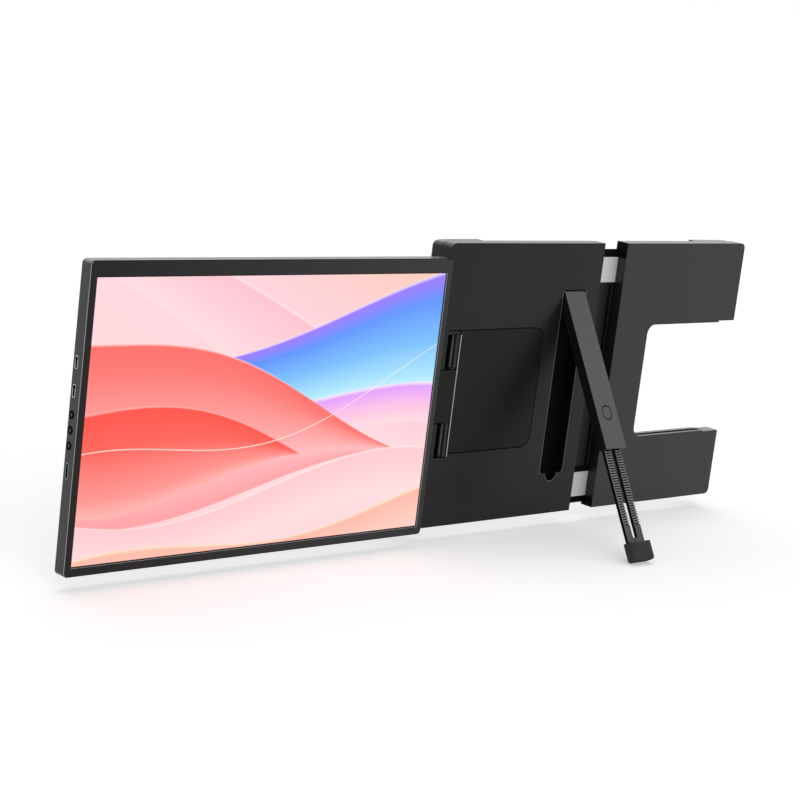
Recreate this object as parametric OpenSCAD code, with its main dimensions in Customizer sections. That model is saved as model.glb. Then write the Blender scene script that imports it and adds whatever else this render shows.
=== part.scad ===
// Laptop screen extender: a body that clips on a laptop lid, a sliding C-shaped bracket,
// a hinged and turning 14 inch display, and a kickstand with a telescopic forked leg.
// X runs from the display to the bracket, Y from the outer face to the laptop lid, Z is up.
// The origin is the centre of the rear face of the body's lid pad. Depths are measured
// from the body's outer face towards the lid.

/* [Body] */
// Width of the body
body_w = 165.3; // [150:0.1:190]
// Height of the body and of the bracket
body_h = 214.5; // [212:0.1:230]
// Thickness of the body and of the bracket
body_t = 12; // [11.6:0.1:14]
// Radius of the outer corners
corner_r = 4.5; // [2:0.1:6]
// Thickness of the front skin
skin_t = 2.0; // [1.2:0.1:2.2]
// Thickness of the left and lower side walls
side_t = 2.4; // [1.6:0.1:2.5]
// Thickness of the upper side wall
top_wall_t = 6.1; // [5:0.1:6.2]
// Thickness of the rear cover
cover_t = 1.0; // [0.8:0.05:1.1]
// Thickness of the silicone lid pad
pad_t = 0.8; // [0.5:0.1:1.5]
// Width of the lid pad
lid_pad_w = 60; // [30:1:80]
// Height of the lid pad
lid_pad_h = 90; // [50:1:140]

/* [Display] */
// Width of the lit area
active_w = 303.1; // [280:0.1:310]
// Height of the lit area
active_h = 189.6; // [170:0.1:192]
// Bezel at the end near the hinge
bezel_hinge = 5.0; // [5:0.1:9]
// Bezel at the end with the sockets
bezel_end = 5.4; // [5:0.1:9]
// Wide bezel, at the top as the display is turned here
bezel_wide = 10.5; // [6:0.1:12]
// Narrow bezel, at the bottom as the display is turned here
bezel_narrow = 6.0; // [5:0.1:9]
// Thickness of the display
display_t = 10.5; // [9.8:0.1:12]
// Distance that the display's face stands in front of the body's face
display_proud = 6.0; // [5.6:0.1:6.3]
// Corner radius of the display
display_r = 3.2; // [2:0.1:5]
// Thickness of the bezel frame
bezel_t = 0.6; // [0.5:0.1:1]
// Thickness of the LCD panel
panel_t = 1.6; // [1.2:0.1:1.8]
// Thickness of the light guide
guide_t = 1.0; // [0.6:0.1:1.0]
// Thickness of the display shell's side walls
shell_wall = 1.6; // [1.2:0.1:2]
// Thickness of the display shell's back
shell_back = 1.2; // [0.9:0.1:1.2]
// How far the LCD panel reaches under the bezel
panel_lap = 1.5; // [1:0.1:2.5]
// Distance of the display's middle above the hinge's middle
display_up = 1.1; // [-2:0.1:2]
// Gap between the display and the body's left edge
display_gap = 2.45; // [2.2:0.05:4]

/* [Sockets and buttons] */
// Length of a USB-C socket's mouth
usb_w = 8.9; // [8.5:0.1:9.2]
// Height of a USB-C socket's shell
usb_t = 3.2; // [3:0.1:3.2]
// Depth of a USB-C socket
usb_depth = 7.4; // [6:0.1:9]
// Length of the mini video socket's mouth
video_w = 11.2; // [10:0.1:12]
// Depth of the mini video socket
video_depth = 7.6; // [6:0.1:9]
// Wall of each socket's metal shell
socket_wall = 0.35; // [0.3:0.05:0.5]
// Height of the upper USB-C socket above the body's middle
usb_upper_z = 31.0; // [28:0.1:34]
// Height of the lower USB-C socket above the body's middle
usb_lower_z = 12.5; // [11:0.1:14]
// Height of the middle button
button_mid_z = -13.1; // [-14:0.1:-12]
// Distance from button to button
button_pitch = 10.1; // [8:0.1:11]
// Radius of the display's buttons
button_r = 2.3; // [1.6:0.1:2.4]
// Travel of the display's buttons
button_travel = 0.4; // [0.2:0.05:0.5]
// Height of the mini video socket
video_z = -39.8; // [-43:0.1:-37]
// Thickness of the driver board
board_t = 1.0; // [0.8:0.1:1.0]
// Width of the driver board
board_w = 18; // [12:0.5:30]
// Height of the driver board
board_h = 100; // [96:1:140]

/* [Hinge] */
// Height of the hinge's middle above the body's middle
hinge_z = -7.2; // [-12:0.1:0]
// Distance of the hinge pin from the body's left edge
hinge_in = 18.35; // [18:0.05:20]
// Depth of the hinge pin behind the body's face
hinge_depth = 4.0; // [4:0.05:4.1]
// Outer radius of the knuckles
knuckle_r = 3.4; // [3:0.1:3.5]
// Radius of the hinge pin
hinge_pin_r = 1.5; // [1:0.1:1.8]
// Height of each knuckle
knuckle_h = 25; // [18:0.5:27]
// Height of the display arm's block between the knuckles
block_h = 39.6; // [30:0.1:42]
// Thickness of a friction washer
washer_t = 1.4; // [1:0.1:2]
// Thickness of the display arm
block_t = 6.4; // [5.5:0.1:6.5]
// Width of the hinge plate
plate_w = 87.8; // [70:0.1:95]
// Height of the hinge plate
plate_h = 92.6; // [88:0.1:110]
// Height of the hinge plate's middle above the body's middle
plate_z = -4.4; // [-8:0.1:0]
// Radius of the hinge plate's right corners
plate_r = 9; // [4:0.1:12]
// Thickness of the hinge leaf
leaf_t = 2.0; // [1.5:0.1:2.2]
// Gap left of the knuckles, inside the window
window_gap = 7.1; // [6:0.1:7.5]
// Radius of the swivel shaft
swivel_r = 1.9; // [1.2:0.1:1.9]
// Length of the swivel shaft inside the display
swivel_len = 20; // [14:0.5:30]
// Half height of the swivel housing
swivel_half_h = 12; // [6:0.5:20]
// Depth of the display arm's raised boss in front of the body's face
boss_proud = 3.5; // [3:0.1:3.6]

/* [Bracket] */
// Gap between the body and the bracket
bracket_gap = 26.4; // [10:0.1:40]
// Width of the bracket
bracket_w = 146.6; // [120:0.1:170]
// Width of the bracket's upright
spine_w = 38.3; // [34:0.1:60]
// Height of the bracket's upper arm
arm_top_h = 65.4; // [60:0.1:70]
// Height of the bracket's lower arm
arm_low_h = 55.5; // [50:0.1:58]
// Radius of the notch's inner corners
notch_r = 8.6; // [4:0.1:12]
// Thickness of the bracket's side walls
bracket_wall = 2.0; // [1.4:0.1:2.2]

/* [Tongue and rails] */
// Thickness of the tongue
tongue_t = 1.5; // [1.2:0.1:1.5]
// Length of the tongue inside the body
tongue_in = 112; // [80:1:112]
// Distance of the tongue's lower edge from the body's lower edge
tongue_low = 2.6; // [2.6:0.1:4]
// Height of each rail
rail_h = 20; // [14:0.5:20]
// Thickness of each rail
rail_t = 0.8; // [0.5:0.1:0.8]
// Distance of the upper rail from the body's top
rail_top_in = 12.5; // [12.5:0.1:14]
// Distance of the lower rail from the body's bottom
rail_low_in = 8.1; // [7.5:0.1:8.6]

/* [Lid claws] */
// Gap for the laptop lid, pads included
lid_gap = 6.4; // [5:0.1:9]
// Thickness of the claws' lips
lip_t = 3.3; // [2:0.1:4]
// Thickness of the claws' side walls
claw_wall = 3.2; // [2.4:0.1:4]
// How far the lips reach over the lid
lip_reach = 4.8; // [4:0.1:8]
// Length of the upper claws along the top
claw_top_len = 46.5; // [30:0.5:60]
// Height of the upper claws along the side
claw_side_h = 60; // [30:0.5:64]
// Height of the left lower claw
claw_low_h = 59; // [30:0.5:60]
// Height of the right lower claw
claw_low_right_h = 46; // [30:0.5:48]

/* [Kickstand] */
// Angle of the kickstand from the body
stand_angle = 30.2; // [10:0.1:40]
// Width of the kickstand arm
stand_w = 22.6; // [22:0.1:24]
// Thickness of the kickstand arm
stand_t = 8.2; // [8.2:0.05:8.3]
// Width of the groove in the body
groove_w = 25.6; // [25.6:0.1:27]
// Distance of the groove's middle from the body's right edge
groove_in = 27.6; // [24:0.1:32]
// Distance of the groove's top from the body's top
groove_top_in = 36.2; // [36:0.1:38]
// Distance of the kickstand's pivot from the groove's top
pivot_in = 2.8; // [2.8:0.05:3]
// Distance of the groove's bottom from the body's bottom
groove_low_in = 32.7; // [32:0.1:36]
// Radius of the groove's corners
groove_r = 2.5; // [1:0.1:4]
// Radius of the thumb notch
thumb_r = 6.3; // [4:0.1:7]
// Depth of the thumb notch
thumb_depth = 5; // [3:0.1:6]
// Wall round the groove
groove_wall = 2; // [1.2:0.1:2]
// Radius of the kickstand's pivot pin
stand_pin_r = 1.2; // [0.8:0.1:1.3]
// Width of the forked leg over its teeth
leg_w = 18.2; // [17:0.1:18.2]
// Thickness of the forked leg
leg_t = 2.8; // [2:0.1:2.8]
// Width of the leg's slot
slot_w = 4.8; // [4.6:0.1:6]
// Distance of the pushed-in leg's top from the end of its channel
leg_head_gap = 2.5; // [2.5:0.1:8]
// How far the leg is pulled out of the arm
leg_out = 72.3; // [60:0.1:74]
// Pitch of the leg's teeth
tooth_pitch = 2.28; // [1.8:0.02:3]
// Depth of the leg's teeth
tooth_depth = 0.7; // [0.3:0.05:0.9]
// Height of the foot
foot_h = 15; // [12:0.1:15]
// Radius of the release button
release_r = 5.3; // [4:0.1:6]
// Distance of the release button from the arm's lower end
release_in = 28.4; // [26:0.1:29]
// Travel of the release button
release_travel = 0.8; // [0.4:0.1:1]

/* [Clearances] */
// Running clearance round pins and shafts
run_gap = 0.05; // [0.02:0.01:0.08]
// Gap between sliding faces
slide_gap = 0.1; // [0.08:0.01:0.15]
// Gap round loose parts and buttons
loose_gap = 0.3; // [0.2:0.05:0.35]

/* [Hidden] */
$fn = 64;

// Overrun of cuts through a face
cut = 1;
// Colours of the materials
c_body = [0.20, 0.20, 0.21];
c_bracket = [0.27, 0.27, 0.28];
c_display = [0.19, 0.19, 0.20];
c_dark = [0.05, 0.05, 0.05];
c_steel = [0.62, 0.63, 0.65];
c_rail = [0.74, 0.75, 0.77];
c_rubber = [0.12, 0.12, 0.13];
c_board = [0.05, 0.25, 0.12];
c_glass = [0.95, 0.62, 0.66];

// Body outline and main depths
front_y = -(body_t + pad_t);
body_x0 = -body_w / 2;
body_x1 = body_w / 2;
body_z0 = -body_h / 2;
body_z1 = body_h / 2;
cover_d = body_t - cover_t;
tongue_d1 = cover_d - loose_gap * 2 / 3;
tongue_d0 = tongue_d1 - tongue_t;
rail_d0 = tongue_d0 - rail_t;
wall_d1 = rail_d0 - slide_gap;

// Screws
screw_r = 1.2;
screw_head_r = 2.2;
screw_head_t = 0.8;
screw_len = 6;
boss_r = 3.4;
boss_in = 6.6;
// Places of the body's four screws: two in bosses, two in the thick top wall
top_screw_shares = [0.45, 0.92];
body_screw_places = [
    [body_x0 + side_t + boss_in, body_z1 - top_wall_t - boss_in],
    [body_x0 + side_t + boss_in, body_z0 + side_t + boss_in],
    [body_x0 + body_w * top_screw_shares[0], body_z1 - top_wall_t / 2],
    [body_x0 + body_w * top_screw_shares[1], body_z1 - top_wall_t / 2]
];

// Display outline and depths
disp_x1 = body_x0 - display_gap;
disp_x0 = disp_x1 - bezel_hinge - active_w - bezel_end;
disp_h = active_h + bezel_wide + bezel_narrow;
disp_z = hinge_z + display_up;
disp_z0 = disp_z - disp_h / 2;
disp_z1 = disp_z + disp_h / 2;
disp_d0 = -display_proud;
disp_d1 = disp_d0 + display_t;
act_x0 = disp_x0 + bezel_end;
act_x1 = disp_x1 - bezel_hinge;
act_z0 = disp_z0 + bezel_narrow;
act_z1 = disp_z1 - bezel_wide;
panel_d0 = disp_d0 + bezel_t;
guide_d0 = panel_d0 + panel_t;
guide_d1 = guide_d0 + guide_t;
back_d0 = disp_d1 - shell_back;
board_d0 = back_d0 - board_t;
socket_d = board_d0 - usb_t / 2;
guide_in = 2;
board_in = 3.2;
board_x0 = disp_x0 + shell_wall + board_in;
board_mid_z = (usb_upper_z + video_z) / 2;
button_proud = 0.5;
button_flange_t = 0.6;
button_flange_r = button_r + button_flange_t;
flange_x0 = disp_x0 + shell_wall + slide_gap;
flange_x1 = flange_x0 + button_flange_t;
switch_x0 = flange_x1 + button_travel + slide_gap;
switch_h = 5;
switch_w = 3.4;
socket_in = 0.2;

// Hinge
hinge_x = body_x0 + hinge_in;
knuckle_gap = washer_t + 2 * slide_gap;
block_z0 = hinge_z - block_h / 2;
block_z1 = hinge_z + block_h / 2;
knuckle_up_z0 = block_z1 + knuckle_gap;
knuckle_up_z1 = knuckle_up_z0 + knuckle_h;
knuckle_low_z1 = block_z0 - knuckle_gap;
knuckle_low_z0 = knuckle_low_z1 - knuckle_h;
flat_over = 1.2;
plate_edge_gap = 0.55;
plate_undercut = 3.2;
plate_x0 = hinge_x + flat_over + plate_edge_gap;
plate_x1 = plate_x0 + plate_w;
plate_z0 = plate_z - plate_h / 2;
plate_z1 = plate_z + plate_h / 2;
plate_gap = 0.25;
leaf_margin = 6;
block_end_r = hinge_depth;
leaf_notch = block_end_r + 0.8 * flat_over;
arm_gap = 1.0;
arm_x0 = disp_x1 + arm_gap;
arm_window_gap = 0.8;
window_x0 = hinge_x - hinge_in + window_gap + loose_gap;
boss_half_h = 11;
swivel_embed = 2.6;
swivel_ring_t = 1.0;
swivel_ring_r = 2.5;
swivel_washer_r = 3.3;
housing_wall = 0.62;
leaf_screw_r = 1.25;
leaf_screw_in = 9;
leaf_screw_len = 1.2;
leaf_head_t = 1.4;
leaf_head_r = 2.6;
leaf_x0 = hinge_x + leaf_notch;
leaf_x1 = plate_x1 + leaf_margin;
leaf_z0 = min(plate_z0, knuckle_low_z0) - leaf_margin;
leaf_z1 = max(plate_z1, knuckle_up_z1) + leaf_margin;
leaf_screw_places = [
    for (x = [plate_x0 + leaf_screw_in + plate_undercut, plate_x1 - leaf_screw_in],
         z = [plate_z0 + leaf_screw_in, plate_z1 - leaf_screw_in]) [x, z]
];

// Bracket
br_x0 = body_x1 + bracket_gap;
br_x1 = br_x0 + bracket_w;
spine_x1 = br_x0 + spine_w;
notch_z1 = body_z1 - arm_top_h;
notch_z0 = body_z0 + arm_low_h;
br_boss_in = 9;
// Places of the screws near the ends of both arms and on the upright
bracket_screw_places = [
    [br_x1 - bracket_wall - br_boss_in, body_z1 - bracket_wall - br_boss_in],
    [br_x1 - bracket_wall - br_boss_in, notch_z1 + bracket_wall + br_boss_in],
    [br_x1 - bracket_wall - br_boss_in, notch_z0 - bracket_wall - br_boss_in],
    [br_x1 - bracket_wall - br_boss_in, body_z0 + bracket_wall + br_boss_in],
    [spine_x1 + br_boss_in, body_z1 - bracket_wall - br_boss_in],
    [spine_x1 + br_boss_in, body_z0 + bracket_wall + br_boss_in]
];

// Tongue and rails
tongue_x0 = body_x1 - tongue_in;
tongue_x1 = spine_x1 - bracket_wall - slide_gap;
tongue_z0 = body_z0 + tongue_low;
tongue_z1 = body_z1 - top_wall_t - slide_gap * 2;
rail_in = 4;
rail_up_z1 = body_z1 - rail_top_in;
rail_up_z0 = rail_up_z1 - rail_h;
rail_low_z0 = body_z0 + rail_low_in;
rail_low_z1 = rail_low_z0 + rail_h;
glide_len = 48;
glide_in = 4.5;
tongue_head_r = 2.4;
tongue_head_t = 1.0;
tongue_screw_shares = [0.22, 0.5, 0.78];
tongue_column_share = 0.55;
tongue_screw_places = [
    for (s = tongue_screw_shares)
        [br_x0 + spine_w * tongue_column_share, tongue_z0 + (tongue_z1 - tongue_z0) * s]
];
rail_end_share = 0.3;
rail_x1 = br_x0 + spine_w * rail_end_share;

// Claws
claw_d0 = body_t;
lip_d0 = body_t + pad_t + lid_gap;
lip_d1 = lip_d0 + lip_t;
claw_reach = claw_wall + lip_reach;
claw_pad_in = 0.6;
bracket_pad_w = 60;
bracket_pad_h = 24;

// Kickstand: sizes in the arm's own frame, with its pivot at the origin
pivot_d = slide_gap + stand_t / 2 + slide_gap;
face_n = stand_t / 2 + slide_gap;
pivot_x = body_x1 - groove_in;
groove_x0 = pivot_x - groove_w / 2;
groove_x1 = pivot_x + groove_w / 2;
groove_z1 = body_z1 - groove_top_in;
groove_z0 = body_z0 + groove_low_in;
groove_h = groove_z1 - groove_z0;
pivot_z = groove_z1 - pivot_in;
groove_d1 = pivot_d + stand_t / 2 + slide_gap;
groove_floor_d1 = tongue_d0 - slide_gap;
head_r = 2.3;
head_drop = 1.1;
foot_gap = 1.2;
stand_len = groove_h - pivot_in - head_drop - foot_h - foot_gap;
release_at = stand_len - release_in;
leg_n0 = 4.4;
channel_top = 14;
leg_len = stand_len - channel_top - leg_head_gap;
rack_end_in = 26;
leg_s1 = stand_len + leg_out;
leg_s0 = leg_s1 - leg_len;
slot_end_in = 2.9;
slot_end_z = lz(leg_s1 - slot_end_in - slot_w / 2);
tooth_count = floor((leg_len - rack_end_in) / tooth_pitch);
foot_s0 = leg_s1;
foot_wall = 0.2;
foot_t = 8.0;
foot_r = 2.2;
leg_in_foot = 9;
release_ring = 0.4;
stem_r = 1.7;
button_t = 1.6;
button_hole_t = 2.6;
pawl_w = 3.6;
pawl_h = 6;
pawl_t = 2.0;
tooth_share = 0.75;

// Height, measured in the body's frame, of a depth behind the body's face
function dy(d) = front_y + d;
// Place across the arm's thickness, and along its face, in the arm's frame
function ly(n) = n - face_n;
function lz(s) = -(s + head_drop);

// Block between two corners given in X, Z and depth
module slab(x0, x1, z0, z1, d0, d1) {
    translate([x0, dy(d0), z0]) cube([x1 - x0, d1 - d0, z1 - z0]);
}

// Outline drawn in X and Z, made thick from depth d0 to depth d1
module sheet(d0, d1) {
    translate([0, dy(d1), 0]) rotate([90, 0, 0]) linear_extrude(d1 - d0) children();
}

// Round bars along X, Y and Z
module rod_x(x0, x1, d, z, r) {
    translate([x0, dy(d), z]) rotate([0, 90, 0]) cylinder(h = x1 - x0, r = r);
}
module rod_y(x, d0, d1, z, r) {
    translate([x, dy(d1), z]) rotate([90, 0, 0]) cylinder(h = d1 - d0, r = r);
}
module rod_z(x, d, z0, z1, r) {
    translate([x, dy(d), z0]) cylinder(h = z1 - z0, r = r);
}

// Rectangle with round corners, from corner to corner
module round_rect(x0, x1, z0, z1, r) {
    translate([x0 + r, z0]) square([x1 - x0 - 2 * r, z1 - z0]);
    translate([x0, z0 + r]) square([x1 - x0, z1 - z0 - 2 * r]);
    for (x = [x0 + r, x1 - r], z = [z0 + r, z1 - r]) translate([x, z]) circle(r = r);
}
// Rectangle whose right or left corners alone are round
module side_round_rect(x0, x1, z0, z1, r, right) {
    translate([right ? x0 : x0 + r, z0]) square([x1 - x0 - r, z1 - z0]);
    translate([x0, z0 + r]) square([x1 - x0, z1 - z0 - 2 * r]);
    for (z = [z0 + r, z1 - r]) translate([right ? x1 - r : x0 + r, z]) circle(r = r);
}
module box2(x0, x1, z0, z1) {
    translate([x0, z0]) square([x1 - x0, z1 - z0]);
}

// Outlines of the body, the bracket and the kickstand's groove, drawn in by g
module body_outline(g = 0) {
    side_round_rect(body_x0 + g, body_x1 - g, body_z0 + g, body_z1 - g,
                    corner_r - min(g, corner_r / 2), false);
}
module bracket_outline(g = 0) {
    difference() {
        side_round_rect(br_x0 + g, br_x1 - g, body_z0 + g, body_z1 - g,
                        corner_r - min(g, corner_r / 2), true);
        round_rect(spine_x1 - g, br_x1 + notch_r + cut, notch_z0 - g, notch_z1 + g, notch_r);
    }
}
module groove_outline(g = 0) {
    round_rect(groove_x0 - g, groove_x1 + g, groove_z0 - g, groove_z1 + g, groove_r + g);
}
module thumb_outline(g = 0) {
    translate([pivot_x, groove_z0]) circle(r = thumb_r + g);
}

module body_front() {
    color(c_body) difference() {
        union() {
            sheet(0, skin_t) body_outline();
            // Left, lower and upper walls, and the lower right wall that the rails pass behind
            difference() {
                sheet(skin_t, cover_d) body_outline();
                slab(body_x0 + side_t, body_x1 + cut, tongue_z0 - 2 * slide_gap,
                     body_z1 - top_wall_t, skin_t - cut, cover_d + cut);
            }
            intersection() {
                sheet(skin_t, wall_d1) body_outline();
                slab(body_x1 - side_t, body_x1, body_z0, body_z1, skin_t, wall_d1);
            }
            // Pocket of the kickstand's groove, and the thumb notch's pocket
            sheet(skin_t, groove_floor_d1) groove_outline(groove_wall);
            sheet(skin_t, thumb_depth + groove_wall / 2) thumb_outline(groove_wall);
            for (p = [body_screw_places[0], body_screw_places[1]])
                rod_y(p[0], skin_t, cover_d, p[1], boss_r);
        }
        sheet(-cut, groove_d1) groove_outline();
        sheet(-cut, thumb_depth) thumb_outline();
        // Opening of the hinge plate, and the windows round the knuckles and the arm
        sheet(-cut, skin_t + cut) plate_outline(plate_gap);
        slab(window_x0, hinge_x + knuckle_r - loose_gap, knuckle_low_z0 - loose_gap,
             knuckle_up_z1 + loose_gap, -cut, skin_t + cut);
        slab(body_x0 - cut, plate_x0, block_z0 - arm_window_gap, block_z1 + arm_window_gap,
             -cut, cover_d + cut);
        // Pin of the kickstand, and the screws from behind
        rod_x(groove_x0 - groove_wall - cut, groove_x1 + groove_wall + cut, pivot_d, pivot_z,
              stand_pin_r);
        for (p = body_screw_places)
            rod_y(p[0], cover_d - screw_len, cover_d + cut, p[1], screw_r);
    }
}

module body_rear() {
    color(c_body) difference() {
        sheet(cover_d, body_t) body_outline();
        slab(body_x0 - cut, window_x0, block_z0 - arm_window_gap, block_z1 + arm_window_gap,
             cover_d - cut, body_t + cut);
        for (p = body_screw_places) {
            rod_y(p[0], body_t - screw_head_t, body_t + cut, p[1], screw_head_r + slide_gap);
            rod_y(p[0], cover_d - cut, body_t + cut, p[1], screw_r + slide_gap);
        }
    }
}

module body_screws() {
    color(c_steel) for (p = body_screw_places) {
        rod_y(p[0], body_t - screw_head_t, body_t, p[1], screw_head_r);
        rod_y(p[0], cover_d - screw_len, body_t - screw_head_t, p[1], screw_r);
    }
}

module lid_pad() {
    color(c_rubber) sheet(body_t, body_t + pad_t)
        round_rect(-lid_pad_w / 2, lid_pad_w / 2, -lid_pad_h / 2, lid_pad_h / 2, corner_r);
}

// Nylon glides that keep the tongue's edges beside the rails
module glide(z0, z1) {
    slab(body_x1 - glide_in - glide_len, body_x1 - glide_in, z0, z1, skin_t,
         tongue_d0 - slide_gap);
}
module glide_upper() {
    color(c_dark) glide(rail_up_z1 + loose_gap, tongue_z1 - slide_gap);
}
module glide_lower() {
    color(c_dark) glide(tongue_z0 + slide_gap, rail_low_z0 - loose_gap);
}

// Claw at a corner: a wall round the lid's edge and a lip behind it
module claw_body(x0, x1, z0, z1, top) {
    sheet(claw_d0, lip_d0) intersection() {
        children();
        difference() {
            box2(x0, x1, z0, z1);
            box2(x0 + (x0 < 0 ? claw_wall : -cut), x1 + (x0 < 0 ? cut : -claw_wall), z0 - cut,
                 z1 - (top ? claw_wall : -cut));
        }
    }
    sheet(lip_d0, lip_d1) intersection() {
        children();
        difference() {
            box2(x0, x1, z0, z1);
            box2(x0 + (x0 < 0 ? claw_reach : -cut), x1 + (x0 < 0 ? cut : -claw_reach),
                 z0 - cut, z1 - (top ? claw_reach : -cut));
        }
    }
}
// Thin silicone strip on the lip's inner face
module claw_pad(x0, x1, z0, z1, top) {
    sheet(lip_d0 - pad_t, lip_d0) difference() {
        box2(x0 + (x0 < 0 ? claw_wall : claw_pad_in), x1 - (x0 < 0 ? claw_pad_in : claw_wall),
             z0 + claw_pad_in, z1 - (top ? claw_wall : claw_pad_in));
        box2(x0 + (x0 < 0 ? claw_reach - claw_pad_in : -cut),
             x1 + (x0 < 0 ? cut : claw_pad_in - claw_reach), z0 - cut,
             z1 - (top ? claw_reach - claw_pad_in : -cut));
    }
}
module claw_upper_left() {
    color(c_body) claw_body(body_x0, body_x0 + claw_top_len, body_z1 - claw_side_h, body_z1, true)
        body_outline();
}
module claw_lower_left() {
    color(c_body) claw_body(body_x0, body_x0 + claw_reach, body_z0, body_z0 + claw_low_h, false)
        body_outline();
}
module claw_pad_upper_left() {
    color(c_rubber)
        claw_pad(body_x0, body_x0 + claw_top_len, body_z1 - claw_side_h, body_z1, true);
}
module claw_pad_lower_left() {
    color(c_rubber)
        claw_pad(body_x0, body_x0 + claw_reach + claw_pad_in, body_z0 + corner_r,
                 body_z0 + claw_low_h, false);
}
module claw_upper_right() {
    color(c_bracket) claw_body(br_x1 - claw_top_len, br_x1, body_z1 - claw_side_h, body_z1, true)
        bracket_outline();
}
module claw_lower_right() {
    color(c_bracket)
        claw_body(br_x1 - claw_reach, br_x1, body_z0, body_z0 + claw_low_right_h, false)
            bracket_outline();
}
module claw_pad_upper_right() {
    color(c_rubber)
        claw_pad(br_x1 - claw_top_len, br_x1, body_z1 - claw_side_h, body_z1, true);
}
module claw_pad_lower_right() {
    color(c_rubber)
        claw_pad(br_x1 - claw_reach - claw_pad_in, br_x1, body_z0 + corner_r,
                 body_z0 + claw_low_right_h, false);
}

// Hinge plate: square on the left, round on the right
module plate_outline(g = 0) {
    round_rect(plate_x0 - g, plate_x1 + g, plate_z0 - g, plate_z1 + g, plate_r + g);
    box2(plate_x0, plate_x0 + 2 * plate_r, plate_z0 - g, plate_z1 + g);
}
module hinge_plate() {
    color(c_body) difference() {
        sheet(0, skin_t) plate_outline();
        // The left edge leans in, clear of the arm as it swings
        translate([0, 0, plate_z0 - cut]) linear_extrude(plate_h + 2 * cut) polygon([
            [plate_x0 - cut, dy(-cut)], [plate_x0 - cut, dy(skin_t + cut)],
            [plate_x0 + plate_undercut * (skin_t + cut) / skin_t, dy(skin_t + cut)],
            [plate_x0, dy(0)], [plate_x0, dy(-cut)]
        ]);
        for (p = leaf_screw_places)
            rod_y(p[0], skin_t - leaf_screw_len, skin_t + cut, p[1], leaf_screw_r);
    }
}

module knuckle(z0, z1) {
    rod_z(hinge_x, hinge_depth, z0, z1, knuckle_r);
    slab(hinge_x, leaf_x0 + cut, z0, z1, skin_t, skin_t + leaf_t);
}
module hinge_leaf() {
    color(c_dark) difference() {
        union() {
            slab(leaf_x0, leaf_x1, leaf_z0, leaf_z1, skin_t, skin_t + leaf_t);
            knuckle(knuckle_low_z0, knuckle_low_z1);
            knuckle(knuckle_up_z0, knuckle_up_z1);
        }
        rod_z(hinge_x, hinge_depth, knuckle_low_z0 - cut, knuckle_up_z1 + cut, hinge_pin_r);
        for (p = leaf_screw_places)
            rod_y(p[0], skin_t - cut, skin_t + leaf_t + cut, p[1], leaf_screw_r + slide_gap);
    }
}
module leaf_screws() {
    color(c_steel) for (p = leaf_screw_places) {
        rod_y(p[0], skin_t - leaf_screw_len, skin_t + leaf_t, p[1], leaf_screw_r);
        rod_y(p[0], skin_t + leaf_t, skin_t + leaf_t + leaf_head_t, p[1], leaf_head_r);
    }
}
module hinge_pin() {
    color(c_steel) rod_z(hinge_x, hinge_depth, knuckle_low_z0, knuckle_up_z1, hinge_pin_r);
}
module friction_washers() {
    color(c_dark) for (z = [block_z1 + slide_gap, block_z0 - slide_gap - washer_t]) difference() {
        rod_z(hinge_x, hinge_depth, z, z + washer_t, knuckle_r - loose_gap);
        rod_z(hinge_x, hinge_depth, z - cut, z + washer_t + cut, hinge_pin_r + run_gap);
    }
}

// Arm that carries the display: flush block between the knuckles, and a boss for the swivel
module display_arm() {
    color(c_body) difference() {
        union() {
            rod_z(hinge_x, hinge_depth, block_z0, block_z1, block_end_r);
            translate([0, 0, block_z0]) linear_extrude(block_h) polygon([
                [hinge_x + flat_over, dy(0)], [hinge_x + flat_over, dy(hinge_depth)],
                [hinge_x, dy(block_t)], [arm_x0, dy(block_t)], [arm_x0, dy(0)]
            ]);
            translate([0, 0, hinge_z - boss_half_h]) linear_extrude(2 * boss_half_h) polygon([
                [arm_x0, dy(hinge_depth)], [arm_x0, dy(-boss_proud)],
                [arm_x0 + display_gap - arm_gap / 2, dy(-boss_proud)],
                [arm_x0 + display_gap - arm_gap / 2 + boss_proud, dy(0)],
                [arm_x0 + display_gap + boss_proud, dy(hinge_depth)]
            ]);
        }
        rod_z(hinge_x, hinge_depth, block_z0 - cut, block_z1 + cut, hinge_pin_r + run_gap);
        rod_x(arm_x0 - cut, arm_x0 + swivel_embed, 0, hinge_z, swivel_r);
    }
}
module swivel_shaft() {
    color(c_steel) rod_x(disp_x1 - swivel_len, arm_x0 + swivel_embed, 0, hinge_z, swivel_r);
}
module swivel_washer() {
    color(c_dark) difference() {
        rod_x(disp_x1 + slide_gap, arm_x0 - slide_gap, 0, hinge_z, swivel_washer_r);
        rod_x(disp_x1, arm_x0, 0, hinge_z, swivel_r + run_gap);
    }
}
module swivel_ring() {
    color(c_steel) difference() {
        rod_x(disp_x1 - swivel_len, disp_x1 - swivel_len + swivel_ring_t, 0, hinge_z,
              swivel_ring_r);
        rod_x(disp_x1 - swivel_len - cut, disp_x1 - swivel_len + swivel_ring_t + cut, 0, hinge_z,
              swivel_r);
    }
}

// Display
module display_outline(g = 0) {
    round_rect(disp_x0 + g, disp_x1 - g, disp_z0 + g, disp_z1 - g, display_r - min(g, display_r / 2));
}
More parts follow.
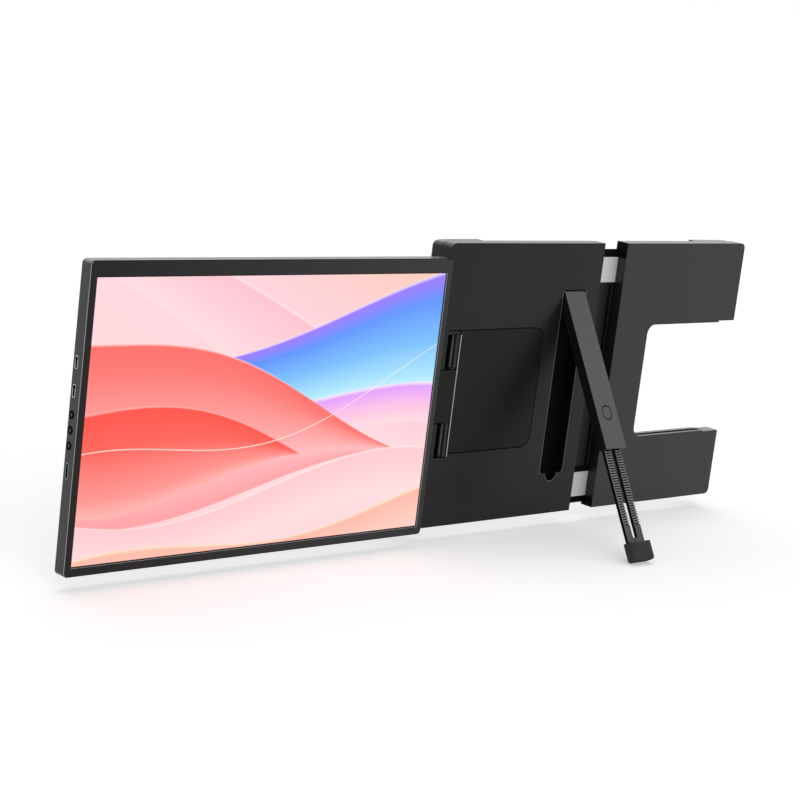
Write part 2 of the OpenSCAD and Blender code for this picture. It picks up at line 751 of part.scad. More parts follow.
// Stadium across the socket's mouth, made deep along X
module mouth(x0, x1, z, w, t, d) {
    translate([x0, dy(d), z]) rotate([0, 90, 0]) linear_extrude(x1 - x0) {
        translate([-w / 2 + t / 2, -t / 2]) square([w - t, t]);
        for (s = [-1, 1]) translate([s * (w / 2 - t / 2), 0]) circle(r = t / 2);
    }
}
module display_shell() {
    color(c_display) difference() {
        sheet(panel_d0, disp_d1) display_outline();
        sheet(panel_d0 - cut, back_d0) display_outline(shell_wall);
        for (z = [usb_upper_z, usb_lower_z])
            mouth(disp_x0 - cut, disp_x0 + shell_wall + cut, z, usb_w + slide_gap,
                  usb_t + slide_gap, socket_d);
        mouth(disp_x0 - cut, disp_x0 + shell_wall + cut, video_z, video_w + slide_gap,
              usb_t + slide_gap, socket_d);
        for (i = [-1, 0, 1])
            rod_x(disp_x0 - cut, disp_x0 + shell_wall + cut, socket_d,
                  button_mid_z + i * button_pitch, button_r + slide_gap);
        rod_x(disp_x1 - shell_wall - cut, disp_x1 + cut, 0, hinge_z, swivel_r + loose_gap);
    }
}
module display_bezel() {
    color(c_display) difference() {
        sheet(disp_d0, panel_d0) display_outline();
        sheet(disp_d0 - cut, panel_d0 + cut) box2(act_x0, act_x1, act_z0, act_z1);
    }
}
module lcd_panel() {
    color(c_glass) slab(act_x0 - panel_lap, act_x1 + panel_lap, act_z0 - panel_lap,
                        act_z1 + panel_lap, panel_d0, guide_d0);
}
module light_guide() {
    color("white") slab(act_x0 - panel_lap + guide_in, act_x1 + panel_lap - guide_in,
                        act_z0 - panel_lap + guide_in, act_z1 + panel_lap - guide_in,
                        guide_d0, guide_d1);
}
module driver_board() {
    color(c_board) slab(board_x0, board_x0 + board_w, board_mid_z - board_h / 2,
                        board_mid_z + board_h / 2, board_d0, back_d0);
}
// Socket: metal shell with a contact tongue inside
module socket(z, w, depth) {
    difference() {
        mouth(disp_x0 + socket_in, disp_x0 + socket_in + depth, z, w, usb_t, socket_d);
        mouth(disp_x0 + socket_in - cut, disp_x0 + socket_in + depth - socket_wall, z,
              w - 2 * socket_wall, usb_t - 2 * socket_wall, socket_d);
    }
    slab(disp_x0 + 4 * socket_wall, disp_x0 + depth, z - w / 2 + usb_t / 2, z + w / 2 - usb_t / 2,
         socket_d - socket_wall, socket_d + socket_wall);
}
module usb_upper() {
    color(c_steel) socket(usb_upper_z, usb_w, usb_depth);
}
module usb_lower() {
    color(c_steel) socket(usb_lower_z, usb_w, usb_depth);
}
module video_socket() {
    color(c_steel) socket(video_z, video_w, video_depth);
}
module tact_switches() {
    color(c_steel) for (i = [-1, 0, 1])
        slab(switch_x0, switch_x0 + switch_w, button_mid_z + i * button_pitch - switch_h / 2,
             button_mid_z + i * button_pitch + switch_h / 2, board_d0 - switch_w / 2 - usb_t / 4,
             board_d0);
}
module button(i) {
    color(c_bracket) {
        rod_x(disp_x0 - button_proud, flange_x0, socket_d, button_mid_z + i * button_pitch,
              button_r);
        intersection() {
            rod_x(flange_x0, flange_x1, socket_d, button_mid_z + i * button_pitch,
                  button_flange_r);
            slab(flange_x0, flange_x1, button_mid_z - 2 * button_pitch,
                 button_mid_z + 2 * button_pitch, guide_d1 + slide_gap, back_d0 - slide_gap);
        }
    }
}
module button_upper() {
    button(1);
}
module button_middle() {
    button(0);
}
module button_lower() {
    button(-1);
}
module swivel_housing() {
    color(c_steel) difference() {
        slab(disp_x1 - swivel_len + swivel_ring_t + slide_gap, disp_x1 - shell_wall,
             hinge_z - swivel_half_h, hinge_z + swivel_half_h, guide_d1, back_d0);
        rod_x(disp_x1 - swivel_len - cut, disp_x1, 0, hinge_z, swivel_r + run_gap);
    }
}

// Bracket
module bracket_front() {
    color(c_bracket) difference() {
        union() {
            sheet(0, skin_t) bracket_outline();
            difference() {
                sheet(skin_t, cover_d) bracket_outline();
                sheet(skin_t - cut, cover_d + cut) bracket_outline(bracket_wall);
                // The tongue and its rails leave through the left wall
                slab(br_x0 - cut, br_x0 + corner_r + cut, tongue_z0 - slide_gap,
                     tongue_z1 + slide_gap, wall_d1, cover_d + cut);
            }
            for (p = bracket_screw_places) rod_y(p[0], skin_t, cover_d, p[1], boss_r);
            for (p = tongue_screw_places) rod_y(p[0], skin_t, tongue_d0, p[1], boss_r);
        }
        for (p = bracket_screw_places)
            rod_y(p[0], cover_d - screw_len, cover_d + cut, p[1], screw_r);
        for (p = tongue_screw_places)
            rod_y(p[0], tongue_d0 - screw_len, tongue_d0 + cut, p[1], screw_r);
    }
}
module bracket_rear() {
    color(c_bracket) difference() {
        sheet(cover_d, body_t) bracket_outline();
        for (p = bracket_screw_places) {
            rod_y(p[0], body_t - screw_head_t, body_t + cut, p[1], screw_head_r + slide_gap);
            rod_y(p[0], cover_d - cut, body_t + cut, p[1], screw_r + slide_gap);
        }
    }
}
module bracket_screws() {
    color(c_steel) for (p = bracket_screw_places) {
        rod_y(p[0], body_t - screw_head_t, body_t, p[1], screw_head_r);
        rod_y(p[0], cover_d - screw_len, body_t - screw_head_t, p[1], screw_r);
    }
}
module bracket_pads() {
    color(c_rubber) for (z = [(body_z1 + notch_z1) / 2, (body_z0 + notch_z0) / 2])
        sheet(body_t, body_t + pad_t)
            round_rect(spine_x1 - bracket_pad_h / 2, spine_x1 - bracket_pad_h / 2 + bracket_pad_w,
                       z - bracket_pad_h / 2, z + bracket_pad_h / 2, corner_r);
}
module tongue() {
    color(c_dark) difference() {
        slab(tongue_x0, tongue_x1, tongue_z0, tongue_z1, tongue_d0, tongue_d1);
        for (p = tongue_screw_places) {
            rod_y(p[0], tongue_d0 - cut, tongue_d1 + cut, p[1], screw_r + slide_gap);
            rod_y(p[0], tongue_d1 - tongue_head_t, tongue_d1 + cut, p[1],
                  tongue_head_r + slide_gap);
        }
    }
}
module tongue_screws() {
    color(c_steel) for (p = tongue_screw_places) {
        rod_y(p[0], tongue_d1 - tongue_head_t, tongue_d1, p[1], tongue_head_r);
        rod_y(p[0], tongue_d0 - screw_len, tongue_d1 - tongue_head_t, p[1], screw_r);
    }
}
module rail_upper() {
    color(c_rail) slab(tongue_x0 + rail_in, rail_x1, rail_up_z0, rail_up_z1, rail_d0, tongue_d0);
}
module rail_lower() {
    color(c_rail) slab(tongue_x0 + rail_in, rail_x1, rail_low_z0, rail_low_z1, rail_d0, tongue_d0);
}

// Kickstand
module stand_pose() {
    translate([pivot_x, dy(pivot_d), pivot_z]) rotate([-stand_angle, 0, 0]) children();
}
module stand_box(x0, x1, s0, s1, n0, n1) {
    translate([x0, ly(n0), lz(s1)]) cube([x1 - x0, n1 - n0, s1 - s0]);
}
module stand_rod(s, n0, n1, r) {
    translate([0, ly(n1), lz(s)]) rotate([90, 0, 0]) cylinder(h = n1 - n0, r = r);
}
module stand_pin() {
    color(c_steel) rod_x(groove_x0 - groove_wall, groove_x1 + groove_wall, pivot_d, pivot_z,
                         stand_pin_r);
}
module stand_arm() {
    color(c_bracket) stand_pose() difference() {
        union() {
            stand_box(-stand_w / 2, stand_w / 2, 0, stand_len, 0, stand_t);
            // Rounded head that carries the pivot pin
            translate([-stand_w / 2, 0, 0]) rotate([90, 0, 90]) linear_extrude(stand_w) {
                circle(r = head_r);
                polygon([
                    [ly(0), lz(0)], [-head_r * 0.67, head_r * 0.73], [0, head_r],
                    [head_r * 0.8, head_r * 0.6], [ly(stand_t), lz(0)]
                ]);
            }
        }
        // Channel for the leg, open at the lower end
        stand_box(-leg_w / 2 - 1.5 * slide_gap, leg_w / 2 + 1.5 * slide_gap, channel_top,
                  stand_len + cut, leg_n0 - slide_gap, leg_n0 + leg_t + slide_gap);
        stand_rod(release_at, -cut, button_hole_t, release_r + release_ring);
        stand_rod(release_at, -cut, leg_n0, stem_r + slide_gap);
        translate([-stand_w, 0, 0]) rotate([0, 90, 0])
            cylinder(h = 2 * stand_w, r = stand_pin_r + run_gap);
    }
}
module release_button() {
    color(c_bracket) stand_pose() {
        stand_rod(release_at, 0, button_t, release_r);
        stand_rod(release_at, button_t, leg_n0 + loose_gap, stem_r);
    }
}
module release_pawl() {
    color(c_steel) stand_pose()
        stand_box(-pawl_w / 2, pawl_w / 2, release_at - pawl_h / 2, release_at + pawl_h / 2,
                  leg_n0 + loose_gap, leg_n0 + loose_gap + pawl_t - release_travel);
}

// One edge of rack teeth, running down a prong
function rack(x, s0, n) = [
    for (i = [0 : n - 1], k = [0, 1])
        [x - (k == 0 ? tooth_depth : 0), lz(s0 + (i + k * tooth_share) * tooth_pitch)]
];
// Forked leg: teeth on the right side of both prongs, a slot with a round end between them
module stand_leg() {
    color(c_display) stand_pose() translate([0, ly(leg_n0 + leg_t), 0]) rotate([90, 0, 0])
        linear_extrude(leg_t) difference() {
            polygon(concat(
                [[leg_w / 2, lz(leg_s1 + leg_in_foot)], [-leg_w / 2, lz(leg_s1 + leg_in_foot)],
                 [-leg_w / 2, lz(leg_s0)], [leg_w / 2 - tooth_depth, lz(leg_s0)]],
                rack(leg_w / 2, leg_s0 + tooth_pitch, tooth_count)
            ));
            polygon(concat(
                [[-slot_w / 2, slot_end_z], [slot_w / 2, slot_end_z],
                 [slot_w / 2, lz(leg_s0 - cut)], [-slot_w / 2 - tooth_depth, lz(leg_s0 - cut)]],
                rack(-slot_w / 2, leg_s0 + tooth_pitch, tooth_count)
            ));
            translate([0, slot_end_z]) circle(r = slot_w / 2);
        }
}
module stand_foot() {
    color(c_rubber) stand_pose() difference() {
        translate([0, ly(foot_wall + foot_t), 0]) rotate([90, 0, 0]) linear_extrude(foot_t) {
            translate([-stand_w / 2, lz(foot_s0 + foot_h - foot_r)])
                square([stand_w, foot_h - foot_r]);
            translate([-stand_w / 2 + foot_r, lz(foot_s0 + foot_h)])
                square([stand_w - 2 * foot_r, foot_r + cut]);
            for (s = [-1, 1]) translate([s * (stand_w / 2 - foot_r), lz(foot_s0 + foot_h - foot_r)])
                circle(r = foot_r);
        }
        stand_box(-leg_w / 2, leg_w / 2, foot_s0 - cut, foot_s0 + leg_in_foot, leg_n0,
                  leg_n0 + leg_t);
    }
}

body_front();
body_rear();
body_screws();
lid_pad();
glide_upper();
glide_lower();
claw_upper_left();
claw_lower_left();
claw_pad_upper_left();
claw_pad_lower_left();
hinge_plate();
hinge_leaf();
leaf_screws();
hinge_pin();
friction_washers();
stand_pin();
display_arm();
swivel_shaft();
swivel_washer();
swivel_ring();
display_shell();
display_bezel();
lcd_panel();
light_guide();
driver_board();
usb_upper();
usb_lower();
video_socket();
tact_switches();
swivel_housing();
button_upper();
button_middle();
button_lower();
bracket_front();
bracket_rear();
bracket_screws();
tongue();
tongue_screws();
rail_upper();
rail_lower();
claw_upper_right();
claw_lower_right();
claw_pad_upper_right();
claw_pad_lower_right();
bracket_pads();
stand_arm();
release_button();
release_pawl();
stand_leg();
stand_foot();
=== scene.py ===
"""Dressed model of a laptop screen extender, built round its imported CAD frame."""

import logging
import math
from dataclasses import dataclass, field
from enum import Enum
from typing import Callable, Iterable, Sequence

import bpy
from mathutils import Euler, Matrix, Vector


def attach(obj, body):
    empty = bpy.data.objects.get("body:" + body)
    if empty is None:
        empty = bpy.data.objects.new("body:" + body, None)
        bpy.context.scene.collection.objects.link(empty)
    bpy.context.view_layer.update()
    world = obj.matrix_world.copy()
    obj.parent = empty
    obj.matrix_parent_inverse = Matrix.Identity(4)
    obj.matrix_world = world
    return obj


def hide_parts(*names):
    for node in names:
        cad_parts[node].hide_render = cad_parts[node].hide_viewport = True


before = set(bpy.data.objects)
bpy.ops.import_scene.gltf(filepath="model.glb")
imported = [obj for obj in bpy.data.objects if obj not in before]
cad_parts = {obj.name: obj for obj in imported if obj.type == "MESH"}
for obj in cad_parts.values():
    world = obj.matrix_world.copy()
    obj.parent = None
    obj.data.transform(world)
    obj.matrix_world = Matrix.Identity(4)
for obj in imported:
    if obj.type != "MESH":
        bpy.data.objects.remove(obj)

log = logging.getLogger("screen_extender")

Obj = bpy.types.Object
Span = tuple[float, float]
Test = Callable[[float, float, float], bool]

MM = 0.001
# Y of the body's outer face, with the lid's plane at 0, in mm
FACE_Y = -12.8
# How near a face or corner is to a place that picks it, in mm
NEAR = 0.01
# How far a cutter reaches past what it cuts, in mm
OVER = 1.0


# Modelling bench


def settle() -> None:
    """Leave edit mode and deselect every object."""
    active = bpy.context.view_layer.objects.active
    if active and active.mode != "OBJECT":
        bpy.ops.object.mode_set(mode="OBJECT")
    bpy.ops.object.select_all(action="DESELECT")


def pick(obj: Obj) -> None:
    """Make one object the only selected and the active one.

    Args:
        obj: the object to pick.
    """
    settle()
    bpy.context.tool_settings.mesh_select_mode = (False, True, False)
    obj.select_set(True)
    bpy.context.view_layer.objects.active = obj


def bake_place(obj: Obj) -> None:
    """Move an object's place, turn and scale into its mesh."""
    pick(obj)
    bpy.ops.object.transform_apply(location=True, rotation=True, scale=True)


def block(name: str, x: Span, z: Span, d: Span) -> Obj:
    """Add a box between two corners.

    Args:
        name: name of the new object.
        x: left and right limits in mm.
        z: lower and upper limits in mm.
        d: depths behind the body's outer face in mm.

    Returns:
        The box, with its place in its mesh.
    """
    settle()
    low = Vector((x[0], FACE_Y + d[0], z[0])) * MM
    high = Vector((x[1], FACE_Y + d[1], z[1])) * MM
    bpy.ops.mesh.primitive_cube_add(size=1.0, location=(low + high) / 2)
    obj = bpy.context.object
    obj.name = obj.data.name = name
    obj.scale = high - low
    bake_place(obj)
    return obj


class Axis(Enum):
    """Direction that a round bar runs in, as the turn from Blender's own upright cylinder."""

    X = (0.0, math.pi / 2, 0.0)
    Y = (math.pi / 2, 0.0, 0.0)
    Z = (0.0, 0.0, 0.0)


def bar(name: str, axis: Axis, centre: Sequence[float], radius: float, length: float,
        sides: int = 48) -> Obj:
    """Add a round bar.

    Args:
        name: name of the new object.
        axis: direction of its length.
        centre: x, depth and z of its middle in mm.
        radius: its radius in mm.
        length: its length in mm.
        sides: number of faces round it.

    Returns:
        The bar, with its place in its mesh.
    """
    settle()
    place = Vector((centre[0], FACE_Y + centre[1], centre[2])) * MM
    bpy.ops.mesh.primitive_cylinder_add(
        vertices=sides, radius=radius * MM, depth=length * MM, location=place,
        rotation=Euler(axis.value))
    obj = bpy.context.object
    obj.name = obj.data.name = name
    bake_place(obj)
    return obj


def ball(centre: Sequence[float], radius: float, segments: int) -> Obj:
    """Add a ball, which cuts shallow dishes.

    Args:
        centre: x, depth and z of its middle in mm.
        radius: its radius in mm.
        segments: number of faces round it, which is twice the number from pole to pole.

    Returns:
        The ball, with its place in its mesh.
    """
    settle()
    x, d, z = centre
    bpy.ops.mesh.primitive_uv_sphere_add(
        segments=segments, ring_count=segments // 2, radius=radius * MM,
        location=(x * MM, (FACE_Y + d) * MM, z * MM))
    obj = bpy.context.object
    bake_place(obj)
    return obj


def millimetres(point: Vector) -> tuple[float, float, float]:
    """Give a vertex's x, depth and z in mm."""
    return point.x / MM, point.y / MM - FACE_Y, point.z / MM


class Finish(Enum):
    """Which of a piece's finishes a face wears, as the number of its slot: its own finish, painted light
    on edges (a painted highlight, or on the kickstand painted shade), or painted shade in recesses and on
    shaded faces.
    """

    MAIN = 0
    EDGE = 1
    RECESS = 2


def open_slots(obj: Obj, count: int) -> None:
    """Give a piece empty slots, up to a number of them."""
    while len(obj.data.materials) < count:
        obj.data.materials.append(None)


def paint_shade_inside(tool: Obj) -> Obj:
    """Mark a cutter so that the faces it leaves wear the recess finish, a painted shade that darkens the
    cut's inside.

    Args:
        tool: the cutter.

    Returns:
        The cutter.
    """
    open_slots(tool, 3)
    tool.data.polygons.foreach_set("material_index", [Finish.RECESS.value] * len(tool.data.polygons))
    return tool


def mark(obj: Obj, finish: Finish, test: Callable[[Vector, Vector], bool]) -> Obj:
    """Put the faces that pass a test in another slot.

    Args:
        obj: the piece.
        finish: the slot.
        test: takes a face's middle, as x, depth and z in mm, and its normal.

    Returns:
        The piece.
    """
    open_slots(obj, finish.value + 1)
    for face in obj.data.polygons:
        if test(Vector(millimetres(face.center)), face.normal):
            face.material_index = finish.value
    return obj


class Across(Enum):
    """Direction that a dividing plane faces."""

    X = (1.0, 0.0, 0.0)
    DEPTH = (0.0, 1.0, 0.0)
    Z = (0.0, 0.0, 1.0)


def split(obj: Obj, across: Across, where: float) -> Obj:
    """Divide a piece's faces along a plane, without opening it.

    Args:
        obj: the piece.
        across: the direction that the plane faces.
        where: the plane's x, depth or z in mm.

    Returns:
        The piece.
    """
    way = Vector(across.value)
    shift = FACE_Y if across is Across.DEPTH else 0.0
    pick(obj)
    bpy.ops.object.mode_set(mode="EDIT")
    bpy.ops.mesh.select_all(action="SELECT")
    bpy.ops.mesh.bisect(plane_co=way * (where + shift) * MM, plane_no=way)
    bpy.ops.mesh.select_all(action="DESELECT")
    bpy.ops.object.mode_set(mode="OBJECT")
    return obj


def select_edges(obj: Obj, test: Test, crease: float = 0.0) -> int:
    """Select the edges whose two ends pass a test.

    Args:
        obj: the object to work on.
        test: takes x, depth and z in mm.
        crease: smallest angle between an edge's faces, in degrees.

    Returns:
        How many edges are selected.
    """
    pick(obj)
    mesh = obj.data
    normals: dict[int, list[Vector]] = {}
    if crease > 0:
        index = {key: i for i, key in enumerate(mesh.edge_keys)}
        for poly in mesh.polygons:
            for key in poly.edge_keys:
                normals.setdefault(index[key], []).append(poly.normal)
    for group in (mesh.vertices, mesh.edges, mesh.polygons):
        group.foreach_set("select", [False] * len(group))
    passed = [test(*millimetres(v.co)) for v in mesh.vertices]
    count = 0
    for edge in mesh.edges:
        if not (passed[edge.vertices[0]] and passed[edge.vertices[1]]):
            continue
        if crease > 0:
            faces = normals.get(edge.index, [])
            if len(faces) != 2 or faces[0].angle(faces[1], 0.0) < math.radians(crease):
                continue
        edge.select = True
        count += 1
    return count


def round_edges(obj: Obj, width: float, steps: int, test: Test, crease: float = 30.0,
                finish: Finish = Finish.MAIN) -> None:
    """Round the sharp edges that pass a test.

    Args:
        obj: the object to work on.
        width: how far the rounding reaches, in mm.
        steps: number of faces across it.
        test: takes x, depth and z of both ends in mm.
        crease: smallest angle between an edge's faces, in degrees.
        finish: the slot that the new faces go in.
    """
    if not select_edges(obj, test, crease):
        log.warning("%s: no edge to round", obj.name)
        return
    open_slots(obj, finish.value + 1 if finish is not Finish.MAIN else 0)
    bpy.ops.object.mode_set(mode="EDIT")
    bpy.ops.mesh.select_mode(type="EDGE")
    bpy.ops.mesh.bevel(offset=width * MM, segments=steps, affect="EDGES", profile=0.5,
                       clamp_overlap=True, material=finish.value or -1)
    bpy.ops.mesh.select_all(action="DESELECT")
    bpy.ops.object.mode_set(mode="OBJECT")


def round_uprights(obj: Obj, radius: float, test: Test, steps: int = 8) -> None:
    """Round the edges that run through a plate's thickness.

    Args:
        obj: the plate.
        radius: the corner radius in mm.
        test: picks the corners, by x, depth and z in mm.
        steps: number of faces round each corner.
    """
    pick(obj)
    mesh = obj.data
    for group in (mesh.vertices, mesh.edges, mesh.polygons):
        group.foreach_set("select", [False] * len(group))
    for edge in mesh.edges:
        a, b = (mesh.vertices[i].co for i in edge.vertices)
        along = (a - b).normalized()
        if abs(along.y) > 0.99 and test(*millimetres(a)) and test(*millimetres(b)):
            edge.select = True
    bpy.ops.object.mode_set(mode="EDIT")
    bpy.ops.mesh.select_mode(type="EDGE")
    bpy.ops.mesh.bevel(offset=radius * MM, segments=steps, affect="EDGES", profile=0.5)
    bpy.ops.mesh.select_all(action="DESELECT")
    bpy.ops.object.mode_set(mode="OBJECT")


def everywhere(x: float, d: float, z: float) -> bool:
    """Pass every point."""
    return True


def plate(name: str, x: Span, z: Span, d: Span, radius: float, test: Test = everywhere,
          steps: int = 8) -> Obj:
    """Add a plate with rounded corners.

    Args:
        name: name of the new object.
        x: left and right limits in mm.
        z: lower and upper limits in mm.
        d: depths of its faces in mm.
        radius: corner radius in mm.
        test: picks which corners are round.
        steps: number of faces round each corner.

    Returns:
        The plate.
    """
    obj = block(name, x, z, d)
    round_uprights(obj, radius, test, steps)
    return obj


def combine(obj: Obj, tool: Obj, operation: str) -> Obj:
    """Apply a boolean with a tool, and delete the tool.

    Args:
        obj: the piece that stays.
        tool: the solid that is used up.
        operation: DIFFERENCE, UNION or INTERSECT.

    Returns:
        The piece.
    """
    open_slots(obj, len(tool.data.materials))
    pick(obj)
    step = obj.modifiers.new("shape", "BOOLEAN")
    step.operation = operation
    step.object = tool
    step.solver = "EXACT"
    bpy.ops.object.modifier_apply(modifier=step.name)
    bpy.data.objects.remove(tool)
    return obj


def cut(obj: Obj, *tools: Obj) -> Obj:
    """Cut each tool out of a piece.

    Args:
        obj: the piece.
        tools: the solids to cut out, which are used up.

    Returns:
        The piece.
    """
    for tool in tools:
        combine(obj, tool, "DIFFERENCE")
    return obj


def fuse(obj: Obj, *others: Obj) -> Obj:
    """Fuse other solids into a piece.

    Args:
        obj: the piece.
        others: the solids to fuse in, which are used up.

    Returns:
        The piece.
    """
    for other in others:
        combine(obj, other, "UNION")
    return obj


def gather(name: str, objs: Sequence[Obj]) -> Obj:
    """Join separate meshes into one object.

    Args:
        name: name of the joined object.
        objs: the objects to join.

    Returns:
        The joined object.
    """
    settle()
    for obj in objs:
        obj.select_set(True)
    bpy.context.view_layer.objects.active = objs[0]
    if len(objs) > 1:
        bpy.ops.object.join()
    objs[0].name = objs[0].data.name = name
    return objs[0]


def copy_to(obj: Obj, shift: Sequence[float]) -> Obj:
    """Copy a piece with its own mesh, moved by x, depth and z in mm.

    Args:
        obj: the piece.
        shift: how far the copy stands from it.

    Returns:
        The copy.
    """
    twin = obj.copy()
    twin.data = obj.data.copy()
    bpy.context.scene.collection.objects.link(twin)
    twin.data.transform(Matrix.Translation(Vector(shift) * MM))
    return twin


def repeat(obj: Obj, count: int, step: Sequence[float]) -> Obj:
    """Repeat a mesh in a row with an array modifier.

    Args:
        obj: the first one.
        count: how many there are.
        step: x, depth and z from one to the next, in mm.

    Returns:
        The row, as one object.
    """
    pick(obj)
    row = obj.modifiers.new("row", "ARRAY")
    row.count = count
    row.use_relative_offset = False
    row.use_constant_offset = True
    row.constant_offset_displace = Vector(step) * MM
    bpy.ops.object.modifier_apply(modifier=row.name)
    return obj


def finish_surface(obj: Obj, angle: float = 32.0) -> Obj:
    """Merge doubles, point faces outwards and shade flats flat and roundings smooth.

    Args:
        obj: the piece.
        angle: edges flatter than this are smooth, in degrees.

    Returns:
        The piece.
    """
    pick(obj)
    bpy.ops.object.mode_set(mode="EDIT")
    bpy.ops.mesh.select_all(action="SELECT")
    bpy.ops.mesh.remove_doubles(threshold=0.002 * MM)
    bpy.ops.mesh.normals_make_consistent(inside=False)
    bpy.ops.mesh.select_all(action="DESELECT")
    bpy.ops.object.mode_set(mode="OBJECT")
    bpy.ops.object.shade_smooth_by_angle(angle=math.radians(angle))
    level = obj.modifiers.new("level", "WEIGHTED_NORMAL")
    level.keep_sharp = True
    level.weight = 80
    bpy.ops.object.modifier_apply(modifier=level.name)
    return obj


# Finishes


class Wiring:
    """Small helper that adds and links shader nodes in one node tree."""

    def __init__(self, tree: bpy.types.NodeTree) -> None:
        """Start with an empty tree.

        Args:
            tree: the material's or the world's node tree.
        """
        self.tree = tree
        self.tree.nodes.clear()

    def add(self, kind: str, **sockets: object) -> bpy.types.Node:
        """Add a node, with its inputs set or linked by name.

        Args:
            kind: the node's type name.
            sockets: values or outputs for its inputs, with _ for a space.

        Returns:
            The node.
        """
        node = self.tree.nodes.new(kind)
        for name, value in sockets.items():
            self.feed(node.inputs[name.replace("_", " ")], value)
        return node

    def feed(self, socket: bpy.types.NodeSocket, value: object) -> None:
        """Link an output to a socket, or set the socket's own value.

        Args:
            socket: the input.
            value: an output, or the value to set.
        """
        if isinstance(value, bpy.types.NodeSocket):
            self.tree.links.new(value, socket)
        else:
            socket.default_value = value

    def sum(self, operation: str, first: object, second: object = 0.0, clamp: bool = False,
            third: object = 0.0) -> bpy.types.NodeSocket:
        """Work out one sum.

        Args:
            operation: the Math node's operation.
            first: value or output.
            second: value or output.
            clamp: keep the answer between 0 and 1.
            third: value or output that MULTIPLY_ADD adds.

        Returns:
            The answer's output.
        """
        node = self.tree.nodes.new("ShaderNodeMath")
        node.operation = operation
        node.use_clamp = clamp
        for socket, value in zip(node.inputs, (first, second, third)):
            self.feed(socket, value)
        return node.outputs[0]

    def spread(self, value: object, low: object, high: object, start: Span = (0.0, 1.0)
               ) -> bpy.types.NodeSocket:
        """Spread a value from one range over another.

        Args:
            value: value or output.
            low: what the first range's lower end becomes, as a value or output.
            high: what its upper end becomes.
            start: the first range.

        Returns:
            The answer's output.
        """
        node = self.add("ShaderNodeMapRange", Value=value, From_Min=start[0], From_Max=start[1],
                        To_Min=low, To_Max=high)
        return node.outputs["Result"]

    def ramp(self, value: object, stops: Iterable[tuple[float, Sequence[float]]]
             ) -> bpy.types.NodeSocket:
        """Turn a value into colour by a list of stops.

        Args:
            value: the output that drives the ramp.
            stops: places from 0 to 1, each with its colour.

        Returns:
            The colour's output.
        """
        node = self.tree.nodes.new("ShaderNodeValToRGB")
        elements = node.color_ramp.elements
        stops = list(stops)
        while len(elements) < len(stops):
            elements.new(0.5)
        for element, (where, colour) in zip(elements, stops):
            element.position = where
            element.color = (*colour, 1.0)
        self.feed(node.inputs["Fac"], value)
        return node.outputs["Color"]

    def mix(self, share: object, first: object, second: object) -> bpy.types.NodeSocket:
        """Mix two colours.

        Args:
            share: share of the second one, from 0 to 1.
            first: colour or output.
            second: colour or output.

        Returns:
            The mixed colour's output.
        """
        node = self.tree.nodes.new("ShaderNodeMix")
        node.data_type = "RGBA"
        self.feed(node.inputs["Factor"], share)
        for socket, value in ((node.inputs[6], first), (node.inputs[7], second)):
            if not isinstance(value, bpy.types.NodeSocket):
                value = (*value, 1.0)
            self.feed(socket, value)
        return node.outputs[2]


class Skin(Wiring):
    """Wiring of one material, on its object's own coordinates."""

    def __init__(self, name: str) -> None:
        """Start an empty material.

        Args:
            name: the material's name.
        """
        self.material = bpy.data.materials.new(name)
        self.material.use_nodes = True
        super().__init__(self.material.node_tree)
        self.output = self.tree.nodes.new("ShaderNodeOutputMaterial")
        self.place = self.tree.nodes.new("ShaderNodeTexCoord").outputs["Object"]

    def noise(self, scale: float, detail: float = 2.0) -> bpy.types.NodeSocket:
        """Add plain noise."""
        return self.add("ShaderNodeTexNoise", Vector=self.place, Scale=scale,
                        Detail=detail).outputs["Fac"]

    def bump(self, height: object, strength: float, depth: float) -> bpy.types.NodeSocket:
        """Turn a height into a bumped normal; depth is in mm."""
        return self.add("ShaderNodeBump", Height=height, Strength=strength,
                        Distance=depth * MM).outputs["Normal"]

    def surface(self, **sockets: object) -> bpy.types.Material:
        """Add the main shader and connect it to the output.

        Args:
            sockets: values or outputs for its inputs, with _ for a space.

        Returns:
            The finished material.
        """
        shader = self.add("ShaderNodeBsdfPrincipled", **sockets)
        self.tree.links.new(shader.outputs[0], self.output.inputs["Surface"])
        return self.material


def shade_of(colour: Sequence[float], factor: float) -> tuple[float, ...]:
    """Give a colour made lighter or darker by a factor."""
    return tuple(min(1.0, c * factor) for c in colour)


@dataclass(frozen=True)
class Moulded:
    """Moulded plastic: fine spark-eroded grain, faint mottling, satin sheen, and where asked a painted
    light that grows lighter along X.
    """

    name: str
    colour: tuple[float, float, float]
    rough: float = 0.30
    shine: float = 0.25
    grain: float = 0.16
    grain_scale: float = 2600.0
    painted_light_end: float = 1.0
    painted_light_slope: float = 3.4
    painted_light_shift: float = 1.36

    def make(self) -> bpy.types.Material:
        """Build the material.

        Returns:
            The material.
        """
        w = Skin(self.name)
        tone = w.mix(w.noise(55.0, 3.0), shade_of(self.colour, 0.90), shade_of(self.colour, 1.10))
        fleck = w.mix(w.spread(w.noise(1500.0), -1.2, 2.2), shade_of(self.colour, 0.82), tone)
        # Painted light: the colour grows lighter towards +X, as if that side were more lit
        if self.painted_light_end > 1.0:
            along = w.sum("MULTIPLY_ADD", w.add("ShaderNodeSeparateXYZ", Vector=w.place).outputs["X"],
                          self.painted_light_slope, True, self.painted_light_shift)
            fleck = w.mix(along, fleck, shade_of(self.colour, self.painted_light_end))
        grain = w.add("ShaderNodeTexVoronoi", Vector=w.place, Scale=self.grain_scale)
        height = w.sum("ADD", grain.outputs["Distance"], w.noise(self.grain_scale * 0.5))
        return w.surface(Base_Color=fleck, Roughness=w.spread(w.noise(120.0, 4.0), self.rough - 0.05,
                         self.rough + 0.06), Normal=w.bump(height, self.grain, 0.03),
                         Specular_IOR_Level=self.shine)


